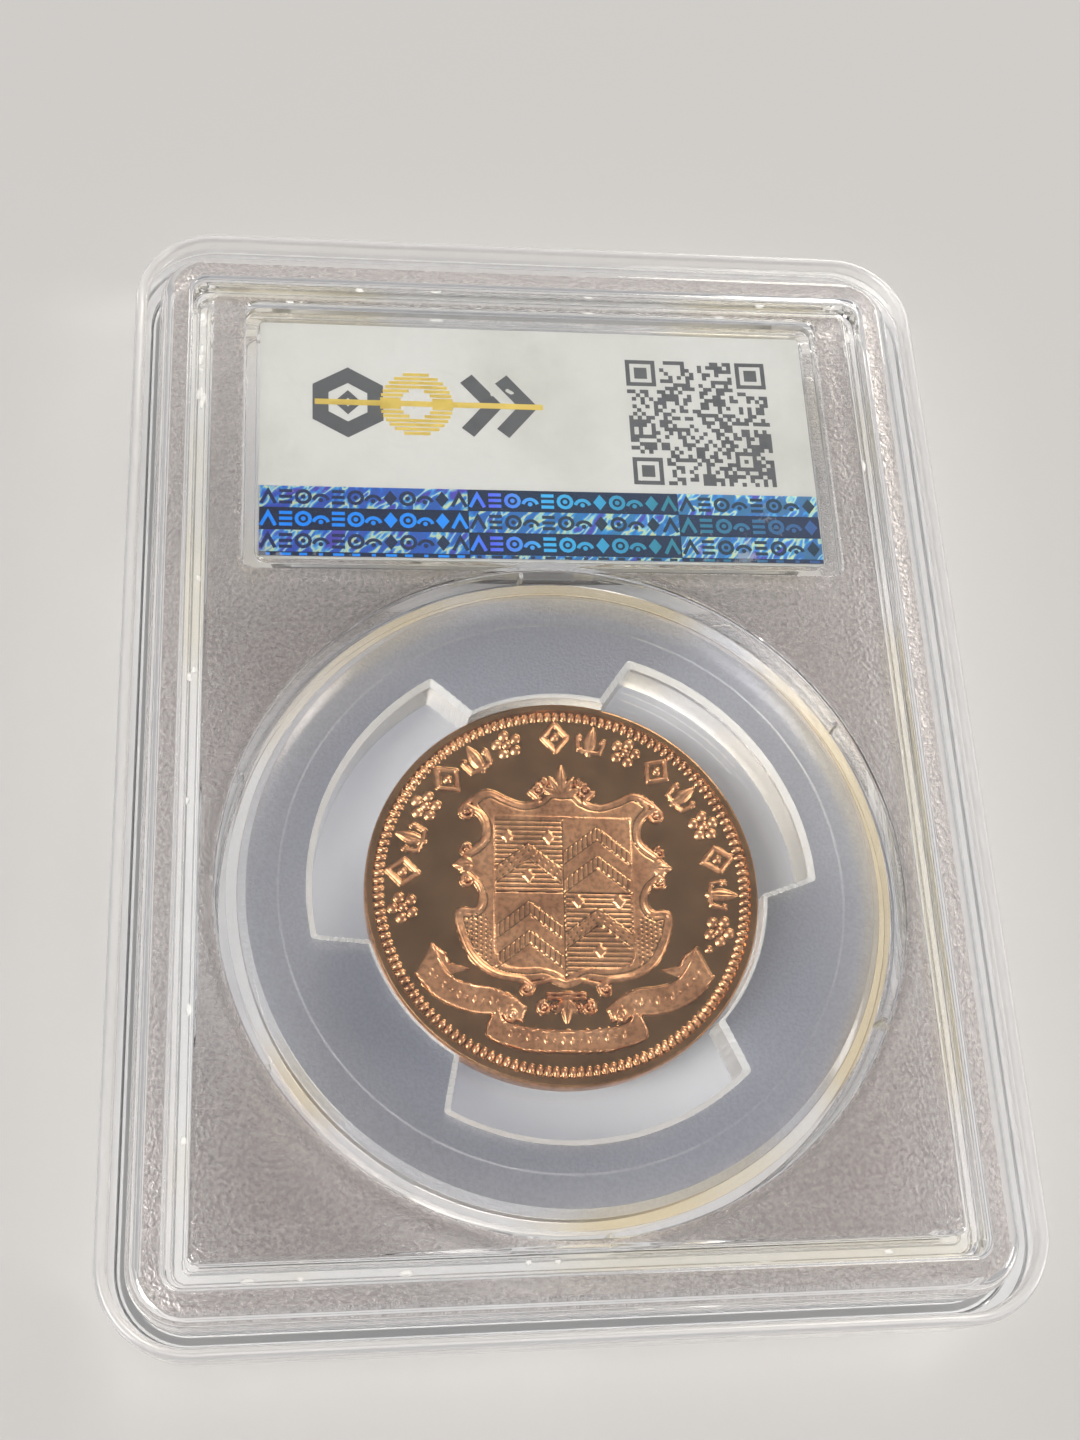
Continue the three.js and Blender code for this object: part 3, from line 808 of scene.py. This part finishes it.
# ---------------------------------------------------------------- the insert round the token
INSERT_RADIUS, INSERT_FACE, INSERT_CHAMFER, INSERT_STEP_RADIUS, INSERT_STEP = 24.0, 22.6, 0.55, 20.4, 0.1
PAD_RADIUS, OPENING_RADIUS, PAD_ANGLE, PAD_TAPER, FIRST_PAD, PAD_COUNT = 14.5, 18.0, 50, 6, 96, 3
OPENING_BEVEL, OPENING_CORNER = 0.42, 0.35
MOULD_LINES, MOULD_LINE_DEPTH = 6, 0.045


def mould_lines(start, end):
    """Small notches along a wall's plan, for the upright lines that the mould leaves on it."""
    step = (end - start) / (MOULD_LINES + 3)
    away = Vector((step.y, -step.x)).normalized() * MOULD_LINE_DEPTH
    points = []
    for k in range(MOULD_LINES):
        middle = start + step * (k + 2)
        points += [tuple(middle - step * 0.22), tuple(middle + away), tuple(middle + step * 0.22)]
    return points


def opening_outline(index, grow):
    """The plan of one opening between two pads, moved outwards by a distance."""
    pitch, lean = 360 / PAD_COUNT, PAD_TAPER
    corners, feet = [], []
    for sign, turn in ((-1, FIRST_PAD + index * pitch + PAD_ANGLE / 2),
                       (1, FIRST_PAD + (index + 1) * pitch - PAD_ANGLE / 2)):
        outer = Vector((OPENING_RADIUS, 0)) @ Matrix.Rotation(-math.radians(turn), 2)
        foot = Vector((PAD_RADIUS - 1, 0)) @ Matrix.Rotation(-math.radians(turn + sign * lean), 2)
        along_wall = (outer - foot).normalized()
        away = Vector((-along_wall.y, along_wall.x)) * sign
        foot = foot + away * grow
        reach = foot.dot(along_wall)
        radius = OPENING_RADIUS + grow
        corner = foot + along_wall * (math.sqrt(reach ** 2 - foot.length_squared + radius ** 2) - reach)
        corners.append(corner)
        feet.append(foot)
    start, end = (math.atan2(c.y, c.x) for c in corners)
    if end < start:
        end += 2 * math.pi
    arc_points = [start + (end - start) * i / 48 for i in range(49)]
    radius = OPENING_RADIUS + grow
    outline = [polar(radius, a) for a in arc_points]
    outline += [*mould_lines(corners[1], feet[1]), tuple(feet[1])]
    outline += [tuple(feet[0]), *mould_lines(feet[0], corners[0])]
    return [(x, y + POCKET_Y) for x, y in softened(outline, OPENING_CORNER, closed=True, steps=4)]


def insert():
    low, high = (corner[2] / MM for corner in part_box("coin_ring"))
    flange, deck = INSERT_FACE + INSERT_CHAMFER, high - INSERT_STEP
    section = softened([
        (PAD_RADIUS, low), (INSERT_FACE, low), (flange, low + INSERT_CHAMFER),
        (INSERT_RADIUS, low + INSERT_CHAMFER), (INSERT_RADIUS, high - INSERT_CHAMFER),
        (flange, high - INSERT_CHAMFER), (INSERT_FACE, high), (INSERT_STEP_RADIUS, high),
        (INSERT_STEP_RADIUS - INSERT_STEP, deck), (PAD_RADIUS + 0.2, deck), (PAD_RADIUS, deck - 0.2),
    ], 0.08, closed=True)
    ring = loft("insert", [circle_ring(r, z, 2 * ROUND_STEPS) for r, z in section], loop=True)
    levels = [(low - 1, OPENING_BEVEL / 2 + 1), (low + OPENING_BEVEL / 2, 0),
              (deck - OPENING_BEVEL, 0), (deck + 1, OPENING_BEVEL + 1)]
    for index in range(PAD_COUNT):
        outlines = [[(x, y, z) for x, y in opening_outline(index, grow)] for z, grow in levels]
        ring = merged(ring, loft("opening", outlines), "DIFFERENCE")
    for face in ring.data.polygons:
        level = abs(face.normal.z)
        radius = math.hypot(face.center.x, face.center.y - POCKET_Y)
        on_step = abs(radius - INSERT_STEP_RADIUS) < 0.4
        if radius > INSERT_FACE - 0.05:
            face.material_index = 3
        elif level > 0.95 or (on_step and level > 0.3):
            face.material_index = 1
        else:
            face.material_index = 2 if level > 0.3 else 0
    return ring


# ---------------------------------------------------------------- the label and its foil strip
CARD_STEP = 0.7
CODE_MODULES, CODE_SIZE, CODE_CENTRE = 33, 11.6, (13.1, 26.8)
MARK_CENTRE, MARK_HALF_HEIGHT, MARK_STROKE = (-8.75, 27.85), 2.9, 1.25
CARD_MARGIN = 0.04  # room for the card's waviness above and below it
CODE_SEED, CODE_DARK = 7, 0.48
PRINT_RISE, PRINT_THICKNESS, GOLD_RISE = 0.012, 0.02, 0.006
FOIL_ROW, FOIL_GAP, FOIL_PERIOD, FOIL_JOINT = 1.9, 0.05, 16.6, -5.95
FOIL_DROP, FOIL_BACK_DROP, FIGURE_DROP = 0.03, 0.022, 0.02
MOTIF_HEIGHT, MOTIF_PITCH = 1.38, 1.3


def paper_rise(x, y):
    """The card's slight waviness."""
    return 0.022 * math.sin(0.31 * x + 0.9) * math.sin(0.43 * y) + 0.012 * math.sin(0.93 * x - 0.5 * y)


CARD_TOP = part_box("label_card")[1][2] / MM - CARD_MARGIN


def label_card():
    (x0, y0, z0), (x1, y1, _) = ([v / MM for v in corner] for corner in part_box("label_card"))
    columns, rows = round((x1 - x0) / CARD_STEP), round((y1 - y0) / CARD_STEP)
    rings = []
    for i in range(columns + 1):
        x = x0 + (x1 - x0) * i / columns
        ys = [y0 + (y1 - y0) * j / rows for j in range(rows + 1)]
        ring = [(x, y, CARD_TOP + paper_rise(x, y)) for y in ys]
        ring += [(x, y, z0 + CARD_MARGIN + paper_rise(x, y)) for y in reversed(ys)]
        rings.append(ring)
    return loft("card", rings)


class Print:
    """Flat thin shapes that lie on the card or in the foil strip, gathered into one mesh."""

    def __init__(self, base, follow=paper_rise):
        self.verts, self.faces, self.base, self.follow = [], [], base, follow

    def shape(self, outline):
        """A thin plate with the given outline, which is convex."""
        start, n = len(self.verts), len(outline)
        for drop in (0.0, PRINT_THICKNESS):
            self.verts += [(x, y, self.base + self.follow(x, y) - drop) for x, y in outline]
        self.faces.append(tuple(range(start, start + n)))
        self.faces.append(tuple(range(start + 2 * n - 1, start + n - 1, -1)))
        for i in range(n):
            j = (i + 1) % n
            self.faces.append((start + i, start + n + i, start + n + j, start + j))

    def bar(self, x0, y0, x1, y1, step=2.0):
        pieces = max(1, round((x1 - x0) / step))
        for i in range(pieces):
            a, b = (x0 + (x1 - x0) * (i + k) / pieces for k in (0, 1))
            self.shape([(a, y0), (b, y0), (b, y1), (a, y1)])

    def stroke(self, path, width):
        """A line of even width along a path, mitred at its corners. A path that ends where it starts is
        closed."""
        points = [Vector(p) for p in path]
        closed = (points[0] - points[-1]).length < 1e-6
        if closed:
            points.pop()
        n = len(points)
        sides = []
        for i, p in enumerate(points):
            before = p - points[i - 1] if closed or i else points[1] - p
            after = points[(i + 1) % n] - p if closed or i < n - 1 else before
            normal = (before.normalized() + after.normalized()).normalized()
            normal = Vector((-normal.y, normal.x))
            reach = width / 2 / max(normal.dot(Vector((-before.y, before.x)).normalized()), 0.3)
            sides.append((tuple(p - normal * reach), tuple(p + normal * reach)))
        for i in range(n if closed else n - 1):
            (a, b), (d, c) = sides[i], sides[(i + 1) % n]
            self.shape([a, d, c, b])

    def object(self, name):
        return to_object(name, self.verts, self.faces)


def code_modules():
    """A made-up square code: three corner targets, a small one, and seeded random modules."""
    n, rng = CODE_MODULES, np.random.default_rng(CODE_SEED)
    dark = rng.random((n, n)) < CODE_DARK
    for row, column in ((0, 0), (0, n - 8), (n - 8, 0)):
        dark[row:row + 8, column:column + 8] = False
    for row, column in ((0, 0), (0, n - 7), (n - 7, 0)):
        dark[row:row + 7, column:column + 7] = True
        dark[row + 1:row + 6, column + 1:column + 6] = False
        dark[row + 2:row + 5, column + 2:column + 5] = True
    dark[n - 9:n - 4, n - 9:n - 4] = True
    dark[n - 8:n - 5, n - 8:n - 5] = False
    dark[n - 7, n - 7] = True
    return dark


def code_print():
    sheet = Print(CARD_TOP + PRINT_RISE)
    pitch = CODE_SIZE / CODE_MODULES
    left, top = CODE_CENTRE[0] - CODE_SIZE / 2, CODE_CENTRE[1] + CODE_SIZE / 2
    for r, row in enumerate(code_modules()):
        c = 0
        while c < CODE_MODULES:
            run = c
            while run < CODE_MODULES and row[run]:
                run += 1
            if run > c:
                sheet.bar(left + c * pitch, top - (r + 1) * pitch, left + run * pitch, top - r * pitch)
            c = max(run, c + 1)
    return sheet.object("code_print")


def ring_path(centre, radius, start=0, end=360, steps=40):
    angles = [math.radians(start + (end - start) * i / steps) for i in range(steps + 1)]
    return [polar(radius, a, centre) for a in angles]


def mark_print():
    """The dark half of a made-up mark: a hexagon, a hollow lozenge and a pair of chevrons."""
    sheet, (cx, cy), h, w = Print(CARD_TOP + PRINT_RISE), MARK_CENTRE, MARK_HALF_HEIGHT, MARK_STROKE
    hexagon = ring_path((cx - 6.4, cy), h - w / 2 + 0.2, 30, 390, 6)
    sheet.stroke(hexagon, w)
    for x in (cx + 3.6, cx + 6.4):
        sheet.stroke([(x - 0.6, cy + h - 0.4), (x + 1.5, cy), (x - 0.6, cy - h + 0.4)], w)
    small = ring_path((cx - 6.4, cy), 0.75, 0, 360, 4)
    sheet.stroke(small, 0.5)
    return sheet.object("mark_print")


def gold_print():
    """The gold half of the mark: a disc of fine rules with a bar right through the mark."""
    sheet, (cx, cy), h = Print(CARD_TOP + PRINT_RISE + GOLD_RISE), MARK_CENTRE, MARK_HALF_HEIGHT
    rules, middle = 15, cx - 1.0
    for k in range(rules):
        rise = (k + 0.5) / rules * 2 * h - h
        half, hollow = (math.sqrt(max(0, r * r - rise * rise)) for r in (h, 0.45 * h))
        for a, b in ((-half, -hollow), (hollow, half)):
            sheet.bar(middle + a, cy + rise - 0.14, middle + b, cy + rise + 0.14)
    sheet.bar(cx - 9.0, cy - 0.25, cx + 9.1, cy + 0.25)
    return sheet.object("gold_print")


def foil_cells():
    """Each block of the strip's brick pattern: its corners, and whether it is a bright one."""
    (x0, y0, _), (x1, y1, _) = ([v / MM for v in corner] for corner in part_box("hologram_strip"))
    first = math.floor((x0 - FOIL_JOINT) / FOIL_PERIOD)
    for row in range(math.ceil((y1 - y0) / FOIL_ROW)):
        high = y1 - row * FOIL_ROW
        low = max(high - FOIL_ROW + FOIL_GAP, y0)
        for column in range(first, first + 5):
            left = max(FOIL_JOINT + column * FOIL_PERIOD, x0)
            right = min(FOIL_JOINT + (column + 1) * FOIL_PERIOD - FOIL_GAP, x1)
            if right > left:
                yield left, low, right, high, (row + column - first) % 2 == 0


def no_rise(x, y):
    return 0


def foil_strip():
    """The strip's blocks, dark and bright in turn, on a dark sheet that shows in the gaps between them."""
    (x0, y0, _), (x1, y1, z1) = ([v / MM for v in corner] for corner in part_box("hologram_strip"))
    sheet = Print(z1 - FOIL_DROP, no_rise)
    slots = []
    for left, low, right, high, bright in foil_cells():
        before = len(sheet.faces)
        sheet.bar(left, low, right, high, 20)
        slots += [int(bright)] * (len(sheet.faces) - before)
    before = len(sheet.faces)
    sheet.base -= FOIL_BACK_DROP
    sheet.bar(x0, y0, x1, y1, 50)
    slots += [0] * (len(sheet.faces) - before)
    strip = sheet.object("foil_strip")
    strip.data.polygons.foreach_set("material_index", slots)
    return strip


def motif(sheet, kind, x, y, h):
    """One small plain figure of the foil's pattern."""
    w = h * 0.2
    if kind == 0:
        sheet.stroke([(x - 0.4 * h, y - 0.45 * h), (x, y + 0.35 * h), (x + 0.4 * h, y - 0.45 * h)], w)
    elif kind == 1:
        sheet.stroke(ring_path((x, y), 0.38 * h, 0, 360, 12), w)
        sheet.shape(ring_path((x, y), 0.14 * h, 0, 315, 7))
    elif kind == 2:
        sheet.shape([(x - 0.38 * h, y), (x, y - 0.5 * h), (x + 0.38 * h, y), (x, y + 0.5 * h)])
    elif kind == 3:
        for k in (-1, 0, 1):
            sheet.bar(x - 0.36 * h, y + (k * 0.36 - 0.1) * h, x + 0.36 * h, y + (k * 0.36 + 0.1) * h, 50)
    else:
        sheet.stroke(ring_path((x, y - 0.3 * h), 0.42 * h, 15, 165, 10), w)
        sheet.shape(ring_path((x, y - 0.2 * h), 0.14 * h, 0, 315, 7))


def foil_motifs():
    """Rows of small figures, bright on the dark blocks and dark on the bright ones. The strip's edge cuts
    off the last row, so only the tops of its figures show."""
    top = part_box("hologram_strip")[1][2] / MM - FIGURE_DROP
    sheets = {bright: Print(top, no_rise) for bright in (False, True)}
    for left, low, right, high, bright in foil_cells():
        count = max(1, math.floor((right - left) / MOTIF_PITCH))
        for i in range(count):
            x = left + (i + 0.5) * (right - left) / count
            if high - low < MOTIF_HEIGHT:
                half = (0.16, 0.3, 0.42)[i * 2 % 3]
                sheets[not bright].bar(x - half, low + 0.02, x + half, low + 0.24, 50)
                continue
            motif(sheets[not bright], (i * 3 + i // 4) % 5, x, (low + high) / 2, MOTIF_HEIGHT)
    return sheets[True].object("foil_bright_motifs"), sheets[False].object("foil_dark_motifs")


# ---------------------------------------------------------------- materials
def material(name):
    made = bpy.data.materials.new(name)
    made.use_nodes = True
    made.node_tree.nodes.clear()
    return made, made.node_tree


def add(tree, kind, inputs=None, **settings):
    """A shader node, its inputs given as values or as the outputs that feed them."""
    node = tree.nodes.new("ShaderNode" + kind)
    for key, value in settings.items():
        setattr(node, key, value)
    for key, value in (inputs or {}).items():
        socket = node.inputs[key]
        if isinstance(value, bpy.types.NodeSocket):
            tree.links.new(value, socket)
        else:
            socket.default_value = value
    return node


def output(tree, shader):
    add(tree, "OutputMaterial", {"Surface": shader.outputs[0]})


def plastic(name, colour, roughness, shade, grain=None, clear=1.0, warm_reflection=None):
    """Clear or frosted polystyrene. Rays to the lamps go straight through it, tinted by its shade. Grain is
    the pebbling's scale in cycles per metre, its depth in metres and the contrast of its speckle, which
    paints glints and shade on the pebbles into the colour. The last argument is a painted warm reflection:
    a second colour, in wide soft patches."""
    made, tree = material(name)
    glass = add(tree, "BsdfPrincipled", {
        "Base Color": (*colour, 1), "Roughness": roughness, "IOR": 1.59, "Transmission Weight": clear})
    if grain:
        # painted glints and shade on the pebbles: the speckle puts lighter and darker flecks into the
        # colour
        pebbles = noise(tree, grain[0], 3.0, roughness=0.6)
        dark, light = (tuple((1 + side * grain[2]) * c for c in colour) for side in (-1, 0.75))
        speckle = ramp(tree, pebbles, [(0.38, dark), (0.60, light)])
        tree.links.new(speckle, glass.inputs["Base Color"])
        bumped(tree, glass, (pebbles, grain[1]))
    # painted warm reflection: a second colour in wide soft patches, standing in for warm surroundings
    # reflected in the plastic
    if warm_reflection:
        patches = ramp(tree, noise(tree, 60, 1.0), [(0.44, colour), (0.58, warm_reflection)])
        tree.links.new(patches, glass.inputs["Base Color"])
    through = add(tree, "BsdfTransparent", {"Color": (*shade, 1)})
    path = add(tree, "LightPath")
    mix = add(tree, "MixShader", {
        0: path.outputs["Is Shadow Ray"], 1: glass.outputs[0], 2: through.outputs[0]})
    output(tree, mix)
    return made


def noise(tree, scale, detail=3.0, stretch=(1, 1, 1), roughness=0.5):
    """Noise in the part's own space, in cycles per metre, stretched along an axis by a smaller factor."""
    place = add(tree, "TexCoord")
    fit = add(tree, "Mapping", {"Vector": place.outputs["Object"], "Scale": stretch})
    return add(tree, "TexNoise", {
        "Vector": fit.outputs[0], "Scale": scale, "Detail": detail, "Roughness": roughness}).outputs["Fac"]


def ramp(tree, value, stops):
    """Colours or greys by a value, from a list of places and colours."""
    node = add(tree, "ValToRGB", {"Fac": value})
    line = node.color_ramp
    while len(line.elements) < len(stops):
        line.elements.new(0.5)
    for element, (place, colour) in zip(line.elements, stops):
        element.position = place
        element.color = (*colour, 1) if isinstance(colour, tuple) else (colour, colour, colour, 1)
    return node.outputs["Color"]


def blend(tree, factor, first, second, kind="MIX"):
    """Mixes two colours."""
    node = add(tree, "Mix", data_type="RGBA", blend_type=kind)
    for socket, value in zip([node.inputs[0], node.inputs[6], node.inputs[7]], (factor, first, second)):
        if isinstance(value, bpy.types.NodeSocket):
            tree.links.new(value, socket)
        else:
            socket.default_value = (*value, 1) if isinstance(value, tuple) else value
    return node.outputs[2]


def bumped(tree, shader, *layers):
    """Adds bump from heights, each with its depth in metres."""
    normal = None
    for height, depth in layers:
        inputs = {"Height": height, "Strength": 1.0, "Distance": depth}
        if normal is not None:
            inputs["Normal"] = normal
        normal = add(tree, "Bump", inputs).outputs[0]
    tree.links.new(normal, shader.inputs["Normal"])


def copper():
    """Matt bright struck copper over a toned brown mirror field with hairlines. The field's darker colour
    is partly its toning and partly a painted dark reflection.
    """
    made, tree = material("struck_copper")
    struck = add(tree, "Attribute", attribute_name="struck").outputs["Fac"]
    mottle = noise(tree, 420, 4.0)
    bright = ramp(tree, mottle, [
        (0.3, (0.46, 0.22, 0.105)), (0.55, (0.68, 0.35, 0.175)), (0.75, (0.80, 0.44, 0.24))])
    speckle = ramp(tree, noise(tree, 2600, 4.0), [(0.36, 0.70), (0.56, 1.05)])
    bright = blend(tree, 1.0, bright, speckle, "MULTIPLY")
    # the field colour is partly toning and partly a painted dark reflection of the surroundings in the
    # mirror
    field = ramp(tree, mottle, [(0.3, (0.27, 0.145, 0.058)), (0.7, (0.39, 0.22, 0.10))])
    colour = blend(tree, struck, field, bright)
    grain = noise(tree, 9000, 2.0)
    hairline = noise(tree, 1500, 2.0, (1, 0.03, 1))
    rough = ramp(tree, struck, [(0.0, 0.22), (1.0, 0.34)])
    shader = add(tree, "BsdfPrincipled", {"Base Color": colour, "Metallic": 1.0, "Roughness": rough})
    bumped(tree, shader, (grain, 0.000006), (hairline, 0.000004))
    output(tree, shader)
    return made


def surface(name, colours, scale, roughness, metallic=0.0, grain=None):
    """An opaque material with a little colour variation and, where given, fine grain with soft creases."""
    made, tree = material(name)
    colour = ramp(tree, noise(tree, scale, 4.0), list(zip((0.3, 0.5, 0.7), colours)))
    shader = add(tree, "BsdfPrincipled", {
        "Base Color": colour, "Roughness": roughness, "Metallic": metallic})
    if grain:
        creases = (noise(tree, 170, 3.0), 30 * grain[1])
        bumped(tree, shader, (noise(tree, grain[0], 4.0), grain[1]), creases)
    output(tree, shader)
    return made


def across(tree, stops):
    """Colours from one end of the foil strip to the other."""
    place = add(tree, "TexCoord")
    x = add(tree, "SeparateXYZ", {"Vector": place.outputs["Object"]}).outputs["X"]
    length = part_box("hologram_strip")[1][0]
    share = add(tree, "MapRange", {"Value": x, "From Min": -length, "From Max": length})
    return ramp(tree, share.outputs[0], stops)


def foil(name, base, streaked=True, wear=0.5, roughness=0.3):
    """Embossed foil: colours from end to end, some with slanting interference streaks, worn grey in
    places."""
    made, tree = material(name)
    colour = across(tree, base)
    place = add(tree, "TexCoord")
    bend = noise(tree, 350, 2.0)
    shift = add(tree, "VectorMath", {0: place.outputs["Object"], 1: (0, 0, 0)}, operation="ADD")
    offset = add(tree, "VectorMath", {0: bend, 3: 0.0012}, operation="SCALE")
    tree.links.new(offset.outputs[0], shift.inputs[1])
    lean = add(tree, "Mapping", {
        "Vector": shift.outputs[0], "Rotation": (0, 0, math.radians(52)), "Scale": (3.2, 1, 1)},
        vector_type="TEXTURE")
    streaks = add(tree, "TexNoise", {
        "Vector": lean.outputs[0], "Scale": 1300, "Detail": 1.5}).outputs["Fac"]
    if streaked:
        hues = ramp(tree, streaks, STREAKS)
        strength = ramp(tree, streaks, [(0.40, 0.3), (0.50, 0.9)])
        colour = blend(tree, strength, colour, hues)
    worn = ramp(tree, noise(tree, 260, 6.0, roughness=0.75), [(0.59, 0.0), (0.64, wear)])
    colour = blend(tree, worn, colour, (0.46, 0.48, 0.48))
    shader = add(tree, "BsdfPrincipled", {"Base Color": colour, "Metallic": 0.6, "Roughness": roughness})
    bumped(tree, shader, (streaks, 0.00003))
    output(tree, shader)
    return made


CLEAR = plastic("clear_polystyrene", (0.985, 0.99, 1.0), 0.015, (0.93, 0.94, 0.95))
FLASH = plastic("squeezed_plastic", (0.97, 0.96, 0.94), 0.08, (0.93, 0.94, 0.95), clear=0.6)
LIP = plastic("scuffed_lip", (0.98, 0.965, 0.955), 0.16, (0.93, 0.93, 0.93), clear=0.7)
# the inner ribs get a painted warm reflection in soft patches
RIB = plastic("inner_ribs", (0.975, 0.975, 0.97), 0.04, (0.93, 0.93, 0.93), clear=0.9,
              warm_reflection=(0.96, 0.91, 0.76))
FROSTED = plastic("frosted_panel", (0.63, 0.575, 0.56), 0.24, (0.69, 0.66, 0.65), (3400, 0.0004, 0.27))
INSERT_CLEAR = plastic("insert_edges", (0.90, 0.90, 0.92), 0.04, (0.90, 0.91, 0.92))
# the insert's rim gets a painted warm reflection in soft patches
INSERT_RIM = plastic("insert_rim", (0.96, 0.955, 0.95), 0.03, (0.92, 0.90, 0.86), clear=0.88,
                     warm_reflection=(0.94, 0.82, 0.58))
INSERT_FROSTED = plastic("insert_faces", (0.535, 0.545, 0.595), 0.30, (0.60, 0.61, 0.66),
                         (4200, 0.00006, 0.12))
INSERT_BEVEL = plastic("insert_bevels", (0.88, 0.87, 0.82), 0.16, (0.88, 0.88, 0.85), clear=0.7)
STREAKS = [(0.38, (0.02, 0.03, 0.18)), (0.44, (0.02, 0.09, 0.52)), (0.49, (0.04, 0.36, 0.70)),
           (0.52, (0.70, 0.72, 0.28)), (0.545, (0.35, 0.68, 0.62)), (0.58, (0.04, 0.28, 0.72)),
           (0.64, (0.08, 0.06, 0.42))]
BRIGHT_BASE = [(0.0, (0.04, 0.08, 0.52)), (0.35, (0.03, 0.16, 0.55)), (0.6, (0.04, 0.28, 0.52)),
               (1.0, (0.06, 0.20, 0.34))]
DARK_BASE = [(0.0, (0.008, 0.015, 0.05)), (0.5, (0.012, 0.03, 0.07)), (1.0, (0.02, 0.035, 0.08))]
LIT_BASE = [(0.0, (0.0, 0.25, 0.95)), (0.36, (0.02, 0.30, 0.95)), (0.40, (0.10, 0.13, 0.90)),
            (0.50, (0.05, 0.45, 0.85)), (0.72, (0.03, 0.22, 0.30)), (1.0, (0.04, 0.10, 0.28))]
FIGURE_BASE = [(0.0, (0.012, 0.022, 0.10)), (0.5, (0.025, 0.045, 0.07)), (1.0, (0.015, 0.04, 0.07))]

# ---------------------------------------------------------------- assembly
fitted(rear_case(), "clear_case", [CLEAR, FROSTED, LIP, RIB], "rear_shell")
fitted(front_case(), "clear_case", [CLEAR, FROSTED, LIP, CLEAR], "front_shell")
fitted(weld_flash(), "clear_case", [FLASH], sharp=180)
fitted(insert(), "frosted_insert", [INSERT_CLEAR, INSERT_FROSTED, INSERT_BEVEL, INSERT_RIM], "coin_ring")
fitted(token(), "copper", [copper()], "coin", sharp=50)
PAPER = surface("white_card", [(0.35, 0.35, 0.32), (0.405, 0.405, 0.38), (0.42, 0.42, 0.40)], 90, 0.8,
                grain=(2600, 0.00002))
fitted(label_card(), "label_paper", [PAPER], "label_card")
INK = surface("grey_ink", [(0.030, 0.032, 0.035), (0.045, 0.047, 0.050)], 700, 0.6)
GOLD = surface("gold_ink", [(0.50, 0.36, 0.06), (0.62, 0.46, 0.10)], 500, 0.38, 0.6)
fitted(mark_print(), "label_paper", [INK])
fitted(code_print(), "label_paper", [INK])
fitted(gold_print(), "label_paper", [GOLD])
fitted(foil_strip(), "hologram_foil", [
    foil("foil_dark", DARK_BASE, False, 0.35), foil("foil_bright", BRIGHT_BASE)], "hologram_strip")
lit_figures, dark_figures = foil_motifs()
fitted(lit_figures, "hologram_foil", [foil("foil_lit_figures", LIT_BASE, False, 0.3)])
fitted(dark_figures, "hologram_foil", [foil("foil_dark_figures", FIGURE_BASE, False, 0.0)])

# ---------------------------------------------------------------- floor, lights and camera
VIEW_TARGET = Vector((-1.4, 0.4, THICKNESS)) * MM
VIEW_DISTANCE, VIEW_AZIMUTH, VIEW_ELEVATION, VIEW_ROLL, LENS = 128.5 * MM, -20.0, 66.3, 18.6, 43.8


def towards(azimuth, elevation):
    a, e = math.radians(azimuth), math.radians(elevation)
    return Vector((math.sin(a) * math.cos(e), -math.cos(a) * math.cos(e), math.sin(e)))


def soft_light(name, azimuth, elevation, spread, power, colour):
    """A round lamp far away, so that it lights the whole floor evenly. Its spread is its width in
    degrees."""
    lamp = bpy.data.lights.new(name, "SUN")
    lamp.angle, lamp.energy, lamp.color = math.radians(spread), power, colour
    holder = placed(name, lamp)
    holder.rotation_euler = towards(azimuth, elevation).to_track_quat("Z", "Y").to_euler()


def stage():
    half, thick = 3.0, 0.01
    made, tree = material("pale_floor")
    shader = add(tree, "BsdfPrincipled", {"Base Color": (0.56, 0.55, 0.54, 1), "Roughness": 0.8})
    output(tree, shader)
    corners = [(-half, -half), (half, -half), (half, half), (-half, half)]
    floor = loft("floor", [[(x / MM, y / MM, z / MM) for x, y in corners] for z in (-thick, 0)])
    floor.data.transform(Matrix.Scale(MM, 4))
    floor.data.materials.append(made)


def world():
    sky = bpy.data.worlds.new("soft sky")
    sky.use_nodes = True
    sky.node_tree.nodes["Background"].inputs[0].default_value = (0.9, 0.93, 1.0, 1)
    sky.node_tree.nodes["Background"].inputs[1].default_value = 0.32
    bpy.context.scene.world = sky


def camera():
    lens = bpy.data.cameras.new("camera")
    lens.lens = LENS
    lens.clip_start = 0.005
    holder = placed("camera", lens)
    away = towards(VIEW_AZIMUTH, VIEW_ELEVATION)
    right = Vector((0, 0, 1)).cross(away).normalized()
    up = away.cross(right)
    roll = math.radians(VIEW_ROLL)
    x_axis = math.cos(roll) * right + math.sin(roll) * up
    y_axis = away.cross(x_axis)
    pose = Matrix((x_axis, y_axis, away)).transposed().to_4x4()
    pose.translation = VIEW_TARGET + away * VIEW_DISTANCE
    holder.matrix_world = pose
    bpy.context.scene.camera = holder


stage()
world()
camera()
soft_light("key", -65, 50, 26, 1.8, (1.0, 0.98, 0.95))
soft_light("back", 150, 32, 30, 1.5, (1.0, 0.94, 0.84))
soft_light("side", 75, 25, 18, 0.9, (1.0, 0.95, 0.90))
bpy.context.scene.view_settings.view_transform = "Standard"
